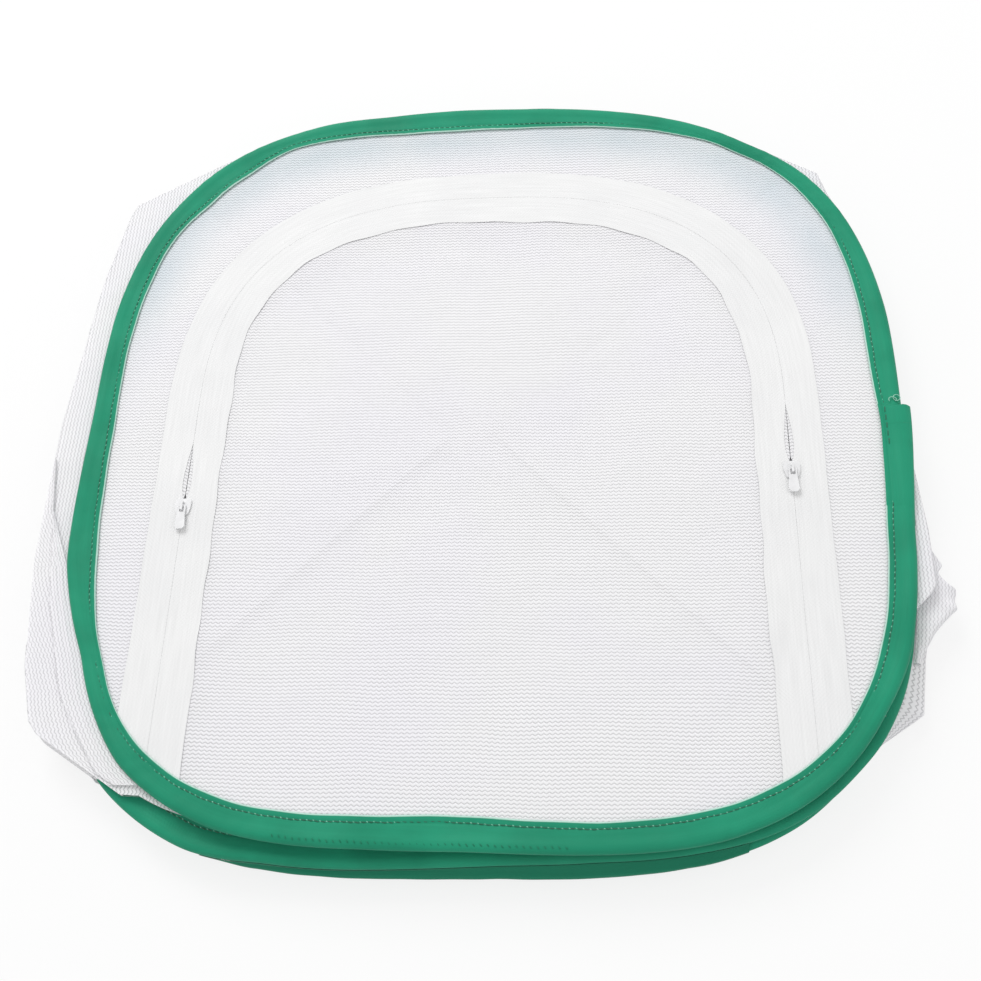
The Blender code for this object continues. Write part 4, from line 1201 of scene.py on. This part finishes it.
@dataclass
class DoorPanel(HoopPanel):
    """Front hoop, whose sheet is cut by the zip into surround, lower part and door."""

    fold_shadow = ((0.087, -0.171), (0.126, -0.128), (0.153, -0.087))

    def near_hem(self, count: int = 480) -> Array:
        """Near edge of the sheet from left to right, relative to the panel's middle."""
        rim = self.line.inset(MESH_INSET, count) - np.array(self.line.centre)
        rim = rim[rim[:, 1] < 0]
        return rim[np.argsort(rim[:, 0])]

    def track(self) -> ZipTrack:
        """Zip track of this panel."""
        near = self.near_hem()
        return ZipTrack(self.line.centre, near[np.argmin(np.abs(near[:, 0] - ZIP_HALF_SPAN)), 1])

    def relief(self, x: Array, y: Array) -> Array:
        """Sag, fold and ripples that the sheet and its zip share."""
        cx, cy = self.line.centre
        u, v = x - cx, y - cy
        near_slider = [dent(u, v, (side.value * ZIP_HALF_SPAN, side.slider_y), 0.022) for side in Side]
        calm = 1 - 0.97 * np.maximum(*near_slider)
        wave = 0.30 * MM * crumple(u, v, 0.10, 0.4) + 0.14 * MM * crumple(u, v, 0.032, 1.9)
        fold = -0.9 * MM * valley(u, v, self.fold_shadow, 0.009)
        slack = self.slack(u, v)
        return slack * calm * (wave + fold - 0.9 * MM * slack)

    def make_surround(self) -> Piece:
        """Sheet between the zip and the hoop."""
        track = self.track()
        rim = self.line.inset(MESH_INSET, 960)
        points, normals, _ = track.line(SLIT_STATIONS)
        slit = track.world(points + normals * track.slit(points, NET_LEAF_HALF)[:, None])
        hem = slit + normals * ray_reach(slit, normals, rim)[:, None]
        obj = strip_sheet("front_net_surround", slit, hem, self.sheet_level, 14, merge=1e-6)
        # The surround takes the knit with the painted rim shade
        return place_piece(obj, "knit_over", "front", ["front_mesh_surround"])

    def make_door(self) -> Piece:
        """Sheet inside the arch: fixed at the near hem, and a door above the fold line."""
        track = self.track()
        points, normals, _ = track.line(SLIT_STATIONS)
        edge = points - normals * track.slit(points, NET_LEAF_HALF)[:, None]
        near = self.near_hem(960)[::-1]
        closed = np.concatenate([edge, near[np.abs(near[:, 0]) < ZIP_HALF_SPAN - 0.002], edge[:1]])
        middle = (self.line.centre[0], self.line.centre[1] + (Side.LEFT.fold_y + Side.RIGHT.fold_y) / 2)
        obj = star_sheet("door_net", track.world(closed), middle, self.sheet_level, 46, flip=True)
        return self.bend_door(obj, "knit", ["front_mesh_lower", "door_flap_mesh"])

    def bend_door(self, obj: Piece, finish: str, nodes: Sequence[str]) -> Piece:
        """Bake a piece of the door in place, dress it and let it stand for its nodes, on no body."""
        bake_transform(obj)
        return place_piece(obj, finish, nodes=nodes)

    def make_ribs(self) -> Piece:
        """Faint ribbed row along the bead of the near side, where a seam lies under the tape."""
        near, size = (0.685, 0.780), (0.00030, 0.0008)
        # The ribs take the seam tape's darker green, a painted shade
        return self.stitch_row("ribs", "seam", 1, 0.0028, size, shares=near, slant=1.2, bead=True)

    def build(self) -> None:
        """Build the hoop, the sheets and the zip."""
        trims = self.make_hoop() + [self.make_ribs()]
        surround, door = self.make_surround(), self.make_door()
        zip_pieces = Zip(self).build()


@dataclass
class Zip:
    """Woven tapes and nylon coils of the U-shaped zip."""

    panel: DoorPanel
    tooth_pitch: float = 0.00128
    stations: int = 760
    start_rise: float = 0.0065
    shear_height: float = 0.0300
    shear_length: float = 0.0235
    hem_lap: float = 0.002

    def tape(self, name: str, stations: Stations, hand: int) -> Piece:
        """One tape from the slit out to its woven edge, which runs on under the binding at the near hem.

        Args:
            name: Name of the piece.
            stations: Points along the slit, outward normals there and distance along the zip.
            hand: 1 for the outer side of the slit and -1 for the inner one.

        Returns:
            The tape.
        """
        track = self.panel.track()
        points, normals, along = stations
        near = track.slit(points)
        waves = ((0.5, 0.0125, 0.0), (0.4, 0.0047, 1.1), (0.3, 0.0213, 0.0))
        ripple = sum(height * np.sin(along / length + turn) for height, length, turn in waves)
        far = TAPE_HALF_WIDTH + (0.75 if hand < 0 else 0.25) * MM * ripple
        share = np.linspace(0, 1, 15)[None]
        across = between(near[:, None], far[:, None], share)
        flat = points[:, None] + normals[:, None] * (hand * across)[..., None]
        drop = points[:, 1][:, None] - np.interp(flat[..., 0], *self.panel.near_hem().T) - self.hem_lap
        low = smooth((track.hem + self.shear_height - points[:, 1]) / self.shear_length)
        x, y = track.centre[0] + flat[..., 0], track.centre[1] + flat[..., 1] - low[:, None] * drop
        lift = (0.06 if hand > 0 else 0.10) * MM
        rise = lift * share**2 * (1 + np.sin(along[:, None] / 0.0062 + 0.6))
        z = self.panel.sheet_level(x, y) + TAPE_OVER_NET + rise
        return loom(name, together(x, y, z), together(along[:, None], across), flip=hand > 0)

    def tooth(self) -> Piece:
        """One turn of the nylon coil, as a flattened ring that leans."""
        bpy.ops.object.select_all(action="DESELECT")
        bpy.ops.mesh.primitive_torus_add(
            major_segments=9, minor_segments=5, major_radius=0.00075, minor_radius=0.00030,
            rotation=(0, math.pi / 2, 0),
        )
        ring = bpy.context.active_object
        bpy.ops.object.transform_apply(location=True, rotation=True, scale=True)
        bpy.ops.transform.resize(value=(1.0, 1.15, 0.62), center_override=(0, 0, 0))
        bpy.ops.object.transform_apply(location=True, rotation=True, scale=True)
        return ring

    def coil(self, name: str, stations: Stations, hand: int) -> Piece:
        """Coil along one side of the slit, meshed with the other one where the zip is shut."""
        track = self.panel.track()
        points, normals, _ = stations
        line = np.column_stack([points, normals])
        length = np.linalg.norm(np.diff(points, axis=0), axis=1).sum()
        spaced, _ = even(line, 2 * int(length / self.tooth_pitch) + 1)
        chosen = spaced[(1 if hand < 0 else 0)::2]
        spot, normal = chosen[:, :2], chosen[:, 2:]
        off = track.slit(spot, NET_LEAF_HALF) - SLIT_HALF + COIL_OFF_SLIT
        place = track.world(spot) + normal * (hand * off)[:, None]
        level = self.panel.sheet_level(place[:, 0], place[:, 1]) - COIL_UNDER_NET
        tangent = np.column_stack([normal[:, 1], -normal[:, 0], 0 * level])
        lean = tangent + 0.18 * hand * np.column_stack([normal, 0 * level])
        return copies(name, self.tooth(), frames_along(np.column_stack([place, level]), lean))

    def build(self) -> list[Piece]:
        """Build tapes and coils; returns those of the door."""
        stations = self.panel.track().line(self.stations, self.start_rise)
        kinds = (("tape", self.tape, "zip_tape"), ("coil", self.coil, "nylon"))
        for part, make, finish in kinds:
            outer = make(f"zip_{part}_frame_side", stations, 1)
            place_piece(outer, finish, "front", [f"zip_{part}_outer"])
        door = []
        for part, make, finish in kinds:
            nodes = [f"zip_{part}_{place}" for place in ("flap", "lower_left", "lower_right")]
            door.append(self.panel.bend_door(make(f"zip_{part}_door_side", stations, -1), finish, nodes))
        for side in Side:
            for part in ("slider", "pull"):
                self.soften(frame["nodes"][f"{part}_{side.word}"])
        return door

    @staticmethod
    def soften(node: Piece) -> None:
        """Round the edges of a cast piece and enamel it."""
        Wardrobe.dress(node, "enamel")
        weld = node.modifiers.new("weld", "WELD")
        weld.merge_threshold = 1e-6
        bevel = node.modifiers.new("edge", "BEVEL")
        bevel.width = 0.00012
        bevel.segments = 2
        bevel.limit_method = "ANGLE"
        bevel.angle_limit = math.radians(40)


@dataclass
class WallQuarter:
    """Wall cloth of one panel and side: the ear out to the crease and the tucked quarter."""

    panel: HoopPanel
    side: Side
    rows: int = 170
    ear_columns: int = 9
    quarter_columns: int = 44

    def lay(self, crease: float, ear_z: float, quarter_z: float) -> Piece:
        """Lay the sheet from under the hoop out to the crease and back in to the quarter's diagonals.

        Args:
            crease: Half width out to the fold line.
            ear_z: Level of the ear.
            quarter_z: Level of the tucked quarter.

        Returns:
            The folded sheet.
        """
        hand, line = self.side.value, self.panel.line
        cx, cy = line.centre
        table = np.array([place for place, _ in self.side.cloth_shares]) * HOOP_HALF
        y = np.unique(np.concatenate([np.linspace(table[0], table[-1], self.rows), table]))
        reach = line.cloth_reach(self.side, y)
        apex = crease - (HOOP_HALF - QUARTER_GAP)
        inner = np.minimum(line.edge_at(0, hand, y) - HOOP_LAP, reach - LEAST_CLOTH)
        ripple = 0.35 * MM * crumple(reach, y, 0.03, 0.7 + hand)
        columns, levels = [], []
        for share in np.linspace(0, 1, self.ear_columns):
            columns.append(inner + (reach - 0.0004 - inner) * share)
            levels.append(ear_z + ripple * share * (1 - share) * 2)
        columns.append(reach)
        tight = crease - reach < 0.004
        levels.append(np.where(tight, (ear_z + quarter_z) / 2, ear_z))
        start = np.minimum(reach - CREASE_INSET, crease - QUARTER_GAP)
        stop = np.minimum(np.abs(y) + apex, start)
        for share in np.linspace(0, 1, self.quarter_columns):
            columns.append(start + (stop - start) * share)
            levels.append(np.full(len(y), quarter_z))
        across, level = np.stack(columns, axis=1), np.stack(levels, axis=1)
        points = together(cx + hand * across, cy + y[:, None], level)
        uvs = together(y[:, None], inner[:, None] + walked(points))
        return loom(f"{self.panel.name}_side_{self.side.word}", points, uvs, merge=2e-6)

    def build(self, corner: Sequence[Piece]) -> Piece:
        """Build the folded sheet, bake it in place, dress it and let it stand for its nodes.

        Args:
            corner: Cloth sewn to this sheet that closes a corner of the cube, if there is any; not used.

        Returns:
            The sheet.
        """
        nodes = [f"{self.panel.name}_{part}_{self.side.word}" for part in ("ear", "wall")]
        ear_z, quarter_z = (box_middle(node)[2] for node in nodes)
        crease = self.side.crease - CREASE_INSET
        obj = self.lay(crease, ear_z, quarter_z)
        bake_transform(obj)
        place_piece(obj, "knit", nodes=nodes)
        return obj


@dataclass
class Seams:
    """Tapes that join neighbouring hoops, and the cloth that closes the cube's corners."""

    panels: dict[str, HoopPanel]
    half_length: float = 0.118
    width: float = 0.011
    least_bulge: float = 0.0006
    end_fade: float = 0.024

    # Section of the near seam's fold: share of its bulge, height from the lower hoop in mm
    near_fold = ((-0.1, -1.7), (0.5, -1.9), (0.88, -1.0), (1.0, 0.4), (0.93, 1.6), (0.62, 2.4), (0.2, 2.75))

    def add_seam(self, low: str, high: str, grid: Array, x: Array, flip: bool) -> Piece:
        """Lay one seam's tape, bake it in place, dress it and let it stand for its node."""
        obj = loom(f"seam_tape_{low}_{high}", grid, together(x[:, None], 0.001 + walked(grid)), flip=flip)
        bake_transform(obj)
        # The seam tape takes the darker seam green, a painted shade
        place_piece(obj, "seam", nodes=[f"seam_{low}_{high}"])
        return obj

    def far_seam(self, low: str, high: str) -> Piece:
        """Tape along the far side of two hoops."""
        lower, upper = self.panels[low], self.panels[high]
        x = np.linspace(-self.half_length, self.half_length, 121)
        share = np.linspace(0, 1, 13)[None]
        edges = []
        for panel in (lower, upper):
            cx, cy = panel.line.centre
            edges.append(together(x + cx, panel.line.edge_at(1, 1, x) + cy, panel.middle)[:, None])
        fade = np.clip((self.half_length - np.abs(x)) / 0.02, 0, 1)[:, None] ** 0.5
        out = 0.0005 + 0.0006 * np.sin(math.pi * share) * (0.35 + 0.65 * fade)
        out = out + 0.00015 * np.sin(x[:, None] / 0.006 + share * 3)
        grid = between(*edges, share[..., None])
        grid[..., 1] += out
        return self.add_seam(low, high, grid, x, False)

    def near_seam(self) -> Piece:
        """Tape between back and roof, folded out along the near side."""
        lower, upper = self.panels["back"], self.panels["roof"]
        x = np.linspace(-self.half_length, self.half_length, 241)
        shift = lower.line.centre[0] - upper.line.centre[0]
        low_y = lower.line.centre[1] - lower.line.edge_at(1, -1, x)
        high_y = upper.line.centre[1] - upper.line.edge_at(1, -1, x + shift)
        true = HoopLine(lower.line.centre).edge_at(1, -1, x)
        bulge = low_y - (lower.line.centre[1] - true - read_mm(NEAR_SEAM_READS, x))
        least, ends = self.least_bulge, smooth((self.half_length - np.abs(x)) / self.end_fade)
        bulge = between(least, np.maximum(bulge, least), ends)
        bulge = bulge + 0.0001 * crumple(x, 0 * x, 0.03, 0.4)
        rows = [(low_y - share * bulge, lower.middle + height * MM) for share, height in self.near_fold]
        for out, height in ((0.00025, -1.5), (0.00015, -0.3)):
            rows.append((high_y - out, upper.middle + height * MM))
        cx = lower.line.centre[0]
        grid = np.stack([together(x + cx, y, z) for y, z in rows], axis=1)
        return self.add_seam("back", "roof", grid, x, True)

    def corner(self, low: str, high: str, far: bool, side: Side) -> Piece:
        """Cloth from ear to ear round one corner, which opens to the cube's blunt corner."""
        hand = 1 if far else -1
        levels = [box_middle(f"{name}_ear_{side.word}")[2] for name in (low, high)]
        end = abs(side.cloth_shares[-1 if far else 0][0]) * HOOP_HALF
        y = np.linspace(CORNER_START, end, 70)
        edges = []
        for k, name in enumerate((low, high)):
            line = self.panels[name].line
            reach = line.cloth_reach(side, hand * y, CORNER_TUCK)
            shown = smooth((reach - line.edge_at(0, side.value, hand * y) + CORNER_TUCK) / CORNER_TUCK)
            level = between(self.panels[name].middle, levels[k], shown)
            cx, cy = line.centre
            edges.append(together(cx + side.value * reach, cy + hand * y, level))
        share = np.linspace(0, 1, 15)[None, :, None]
        grid = between(edges[0][:, None], edges[1][:, None], share)
        grid = grid + 0.0009 * np.sin(math.pi * share) * np.array((side.value, hand, 0))
        uvs = together(walked(edges[0])[:, None], grid[..., 2] - levels[0])
        obj = loom(f"corner_{low}_{high}_{side.word}", grid, uvs)
        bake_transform(obj)
        return place_piece(obj, "knit")

    def build(self) -> dict[tuple[str, Side], Piece]:
        """Build the three seams and the corners beside them; returns the corners."""
        self.far_seam("floor", "back")
        self.near_seam()
        self.far_seam("roof", "front")
        corners = {}
        for low, high, far in (("floor", "back", True), ("back", "roof", False), ("roof", "front", True)):
            for side in Side:
                corners[low, side] = self.corner(low, high, far, side)
        return corners


@dataclass
class Slack:
    """Loose wall cloth that bulges out between the panels."""

    upper: HoopPanel
    lower: HoopPanel

    def finish(self, obj: Piece, y: Array, held: str, side: Side, middle: float, keep: float) -> Piece:
        """Give loose cloth its own copy of its mesh.

        Args:
            obj: The cloth.
            y: Places of its rows along the side; not used.
            held: How the sheet is held.
            side: Side of the cage.
            middle: Level that the cloth is drawn in at; not used.
            keep: Share of its depth that is kept; not used.

        Returns:
            The same cloth.
        """
        rests_on = "front_side_left" if held == "folded" else f"back_side_{side.word}"
        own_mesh(obj)
        return obj

    def bulge(self, name: str, node: str, side: Side, y: Array, edge: Array, pleats: Level) -> Piece:
        """Curved fold of cloth beside the hoops.

        Args:
            name: Name of the piece.
            node: Node that it stands for.
            side: Side of the cage.
            y: Places along the side, relative to the upper pair's middle.
            edge: How far out the fold reaches at each place.
            pleats: Shift of the cloth, from place and share round the fold.

        Returns:
            The cloth.
        """
        low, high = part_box(node)
        middle, half = (low[2] + high[2]) / 2, (high[2] - low[2]) / 2 - 0.0004
        cx, cy = self.upper.line.centre
        shift = np.array(self.lower.line.centre) - np.array(self.upper.line.centre)
        below = self.lower.line.edge_at(0, side.value, y - shift[1]) + side.value * shift[0]
        inner = np.maximum(self.upper.line.edge_at(0, side.value, y), below) + LEAST_CLOTH
        edge = np.maximum(edge, inner + LEAST_CLOTH)
        turn = np.linspace(0, math.pi, 27)
        share = turn / math.pi
        lift = pleats(y[:, None], share[None])
        full = np.maximum(np.sin(turn), 0.0)[None]
        out = inner[:, None] + (edge - inner)[:, None] * full**0.7 * (1 - 0.12 * np.abs(lift))
        z = middle + (half * np.cos(turn)[None] + 0.0007 * lift * full) * (0.55 + 0.45 * full**0.5)
        points = together(cx + side.value * out, cy + y[:, None], z)
        obj = loom(name, points, together(y[:, None], walked(points)), flip=side is Side.LEFT)
        place_piece(obj, "knit", "back", [node])
        return self.finish(obj, y, "gathered", side, middle, 0.12)

    def build(self) -> None:
        """Build the left folds and the tuft on the right."""
        end = 0.170

        def soft(y: Array, share: Array) -> Array:
            return 0.35 * crumple(y, share * 0.02, 0.07, 0.3)

        def pleated(y: Array, share: Array) -> Array:
            fold = 0.9 * np.sin(math.tau * (y / 0.017 + 0.5 * share))
            return fold + 0.3 * crumple(y, share * 0.02, 0.03, 1.1)

        def crushed(y: Array, share: Array) -> Array:
            fan = np.arctan2(y + 0.079, 0.006 + 0.012 * np.sin(math.pi * share))
            return 0.8 * np.sin(6.0 * fan) + 0.5 * crumple(y, share * 0.03, 0.018, 0.8)

        far = np.linspace(-0.039, end, 110)
        near = np.linspace(-end, -0.040, 130)
        edge = Side.LEFT.cloth_edge(far) - 0.001
        self.bulge("slack_left_smooth", "slack_left_far", Side.LEFT, far, edge, soft)
        edge = Side.LEFT.cloth_edge(near) - 0.001 - 0.005 * smooth((-near - 0.060) / 0.050)
        self.bulge("slack_left_pleats", "slack_left_near", Side.LEFT, near, edge, pleated)
        tuft = np.linspace(-0.114, -0.046, 170)
        edge = rounded(read_mm(TUFT_READS, tuft), 5)
        self.bulge("slack_right_gather", "slack_right_tuft", Side.RIGHT, tuft, edge, crushed)
        self.pleat()

    def pleat(self) -> None:
        """Cloth folded over on itself beside the near left of the front hoop."""
        ear = box_middle("front_ear_left")[2]
        front = HoopLine(self.upper.line.centre, FRONT_RIM_SHARES)
        y = np.linspace(-0.172, -0.012, 190)
        hem = np.where(y < -0.069, front.edge_at(0, -1, y) + 0.0003, read_mm(FREE_EDGE_READS, y))
        fold = np.maximum(read_mm(PLEAT_READS, y), hem + 0.0004)
        rim = np.maximum(Side.LEFT.cloth_edge(y) - 0.0006, fold + 0.0002)
        back = hem + 0.3 * (fold - hem)
        wave = crumple(y, 0 * y, 0.05, 0.9)
        columns, levels = [], []
        layers = (
            (hem, fold, 0.00150, 0.00035), (fold, back, 0.00100, 0.00010), (back, rim, 0.00045, 0.00020),
        )
        for first, last, base, rise in layers:
            for share in np.linspace(0, 1, 12):
                columns.append(first + (last - first) * share)
                ridge = np.sin(math.tau * (3.2 * share + 0.25 * wave)) * np.sin(math.pi * share)
                levels.append(ear + base * (1 - 0.12 * share) + rise * ridge + 0.0001 * wave)
        across, level = np.stack(columns, axis=1), np.stack(levels, axis=1)
        cx, cy = self.upper.line.centre
        points = together(cx - across, cy + y[:, None], level)
        obj = loom("front_pleat_left", points, together(y[:, None], walked(points)))
        place_piece(obj, "knit", "front")
        self.finish(obj, y, "folded", Side.LEFT, ear, 0.15)


@dataclass
class TapeLap:
    """End of the front hoop's tape, folded over its start on the right side."""

    panel: HoopPanel
    low_y: float = -0.052
    high_y: float = 0.0105
    step: float = 0.0036
    tack_inset: float = 0.0082
    tack_start: float = 0.0015
    tack_pitch: float = 0.0042
    tack_length: float = 0.0027
    tack_slant: float = 0.0002

    def build(self) -> None:
        """Build the overlap with its loose thread."""
        points, normals, along = self.panel.line.ring(6000)
        local = points - np.array(self.panel.line.centre)
        own = (local[:, 0] > 0) & (local[:, 1] > self.low_y) & (local[:, 1] < self.high_y)
        index = np.nonzero(own)[0]
        index = index[np.argsort(local[index, 1])]
        index = index[np.linspace(0, len(index) - 1, 70).astype(int)]
        section = np.array(HoopPanel.outer_profile + ((0.0, -0.2), (-0.15, -0.9), (-0.6, -1.5))) * MM
        out, up = section[:, 0][None], section[:, 1][None]
        share = np.linspace(0, 1, len(index))[:, None]
        lift = 0.00022 + 0.00030 * share - 0.0011 * (1 - smooth(share / 0.25))
        off = (0.0004 + self.step * smooth(share)) * np.clip(1 + out / BEAD_WIDTH, 0, 1)
        fray = (0.0004 * np.sin(out / 0.0009 + 0.4) + 0.0012 * np.clip(1 + out / 0.010, 0, 1)) * share**24
        width = self.panel.fit_width(out, (along[index] / along[-1])[:, None])
        (x, y), (east, north) = points[index].T[:, :, None], normals[index].T[:, :, None]
        z = self.panel.middle + up + np.where(up > 0, lift, 0.0)
        place = together(x + east * (width + off), y + north * width - fray, z)
        obj = loom("front_tape_lap", place, together(along[index][:, None], 0.001 - out))
        modifier = obj.modifiers.new("cloth", "SOLIDIFY")
        modifier.thickness = 0.0004
        bpy.ops.object.modifier_apply(modifier=modifier.name)
        place_piece(obj, "binding", "front", ["front_binding_lap"])
        self.make_tack(points[index[-1]])
        self.make_thread(points[index[-1]])

    def make_tack(self, end: Array) -> None:
        """Row of tacking stitches down the inner edge of the lap."""
        share = np.linspace(0, 1, 6)
        for k in range(5):
            x = end[0] - self.tack_inset - self.tack_slant * share
            y = end[1] - self.tack_start - self.tack_pitch * k - self.tack_length * share
            path = together(x, y, self.panel.middle + 0.00175)
            # The tacks take the stitch thread darkened with painted groove shade
            place_piece(tube(f"lap_tack_{k}", path, 0.00024, 6), "green_thread", "front")

    def make_thread(self, end: Array) -> None:
        """Loose thread that stands off the lap's end in two small loops."""
        top = self.panel.middle + 0.0030
        for k, (size, reach) in enumerate(((0.0032, 0.004), (0.0022, -0.001))):
            turn = np.linspace(0.1, 1.1, 26) * math.tau * 0.8
            x = end[0] - 0.004 + reach * turn / 8 + size * 0.75 * np.sin(turn)
            y = end[1] + 0.0008 + size * 0.55 * (1 - np.cos(turn))
            path = np.column_stack([x, y, top + 0.0002 * np.cos(turn * 1.7)])
            # The loose thread takes the pale green that the stitch rows use as painted highlight
            place_piece(tube(f"loose_thread_{k}", path, 0.00021, 6), "pale_thread", "front")


@dataclass
class Studio:
    """Floor, light and camera of the photograph."""

    eye: tuple[float, float, float] = (0.0479, -0.24625, 0.5100)
    yaw: float = math.radians(-11.09)
    pitch: float = math.radians(65.41)
    roll: float = math.radians(-10.62)
    focal: float = 1115.3
    frame_pixels: float = 981.0
    sensor_width: float = 36.0
    floor_size: float = 30.0
    floor_drop: float = 0.0004
    floor_glow: float = 0.80
    sky_strength: float = 0.70

    def build(self) -> None:
        """Set up the stage."""
        self.make_camera()
        self.make_floor()
        self.make_light()
        bpy.context.scene.view_settings.view_transform = "Standard"

    def make_camera(self) -> None:
        """Camera at the photograph's place and angle."""
        data = bpy.data.cameras.new("view")
        camera = bpy.data.objects.new("view", data)
        bpy.context.scene.collection.objects.link(camera)
        level = math.cos(self.pitch)
        forward = Vector((math.sin(self.yaw) * level, math.cos(self.yaw) * level, -math.sin(self.pitch)))
        right = forward.cross(Vector((0, 0, 1))).normalized()
        up = right.cross(forward)
        axis_x = math.cos(self.roll) * right + math.sin(self.roll) * up
        axis_y = -math.sin(self.roll) * right + math.cos(self.roll) * up
        turn = Matrix((axis_x, axis_y, -forward)).transposed()
        camera.matrix_world = Matrix.Translation(self.eye) @ turn.to_4x4()
        data.sensor_fit = "HORIZONTAL"
        data.sensor_width = self.sensor_width
        data.lens = self.focal * self.sensor_width / self.frame_pixels
        data.clip_start = 0.01
        data.clip_end = 100.0
        bpy.context.scene.camera = camera

    def make_floor(self) -> None:
        """Pale floor that keeps a little of the cage's shadow."""
        bpy.ops.object.select_all(action="DESELECT")
        bpy.ops.mesh.primitive_plane_add(size=self.floor_size, location=(0, 0, -self.floor_drop))
        floor = bpy.context.active_object
        floor.name = "studio_floor"
        bpy.ops.object.transform_apply(location=True, rotation=True, scale=True)
        material = bpy.data.materials.new("floor_pale")
        material.use_nodes = True
        board = Board(material.node_tree)
        shader = material.node_tree.nodes["Principled BSDF"]
        shader.inputs["Base Color"].default_value = (0.90, 0.90, 0.90, 1.0)
        shader.inputs["Roughness"].default_value = 0.9
        shader.inputs["Specular IOR Level"].default_value = 0.0
        output = material.node_tree.nodes["Material Output"]
        glow = board.add("ShaderNodeEmission")
        glow.inputs["Strength"].default_value = 1.0
        path = board.add("ShaderNodeLightPath")
        seen = path.outputs["Is Camera Ray"]
        for kind in ("Glossy", "Transmission"):
            seen = board.math("MAXIMUM", seen, path.outputs[f"Is {kind} Ray"])
        factor = board.times(seen, self.floor_glow)
        board.feed(output.inputs["Surface"], board.shade(factor, shader.outputs[0], glow.outputs[0]))
        floor.data.materials.append(material)

    def make_light(self) -> None:
        """Even white surroundings and one large soft lamp from the far left."""
        world = bpy.data.worlds.new("studio")
        bpy.context.scene.world = world
        world.use_nodes = True
        board = Board(world.node_tree)
        ground = world.node_tree.nodes["Background"]
        ground.inputs["Color"].default_value = (1.0, 1.0, 1.0, 1.0)
        ground.inputs["Strength"].default_value = self.sky_strength
        white = board.add("ShaderNodeBackground")
        white.inputs["Strength"].default_value = 1.0
        seen = board.add("ShaderNodeLightPath").outputs["Is Camera Ray"]
        surface = world.node_tree.nodes["World Output"].inputs["Surface"]
        board.feed(surface, board.shade(seen, ground.outputs[0], white.outputs[0]))
        for name, place, size, power in (
            ("lamp_key", (-0.7, 1.3, 1.5), 1.0, 21.0),
            ("lamp_fill", (1.2, -0.2, 1.6), 1.4, 3.0),
        ):
            data = bpy.data.lights.new(name, "AREA")
            data.size = size
            data.energy = power
            lamp = bpy.data.objects.new(name, data)
            lamp.location = place
            lamp.rotation_euler = (Vector((0, 0, 0)) - Vector(place)).to_track_quat("-Z", "Y").to_euler()
            bpy.context.scene.collection.objects.link(lamp)


def main() -> None:
    """Build the stage and dress the cage."""
    logging.basicConfig(level=logging.INFO, format="%(name)s %(message)s")
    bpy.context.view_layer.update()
    Studio().build()
    panels = {
        "floor": HoopPanel("floor", 1, FLOOR_RIM_SHARES, sag=-0.5 * MM, low=True),
        "back": HoopPanel("back", -1, BACK_RIM_SHARES, sag=-0.4 * MM, low=True),
        "roof": HoopPanel("roof", 1, ROOF_RIM_SHARES, sag=-0.5 * MM),
        "front": DoorPanel("front", -1, FRONT_RIM_SHARES, FRONT_LIP_SHARES),
    }
    for panel in panels.values():
        panel.build()
    corners = Seams(panels).build()
    for panel in panels.values():
        for side in Side:
            corner = corners.get((panel.name, side))
            WallQuarter(panel, side).build([corner] if corner else [])
    Slack(panels["roof"], panels["back"]).build()
    TapeLap(panels["front"]).build()


if __name__ == "__main__":
    main()
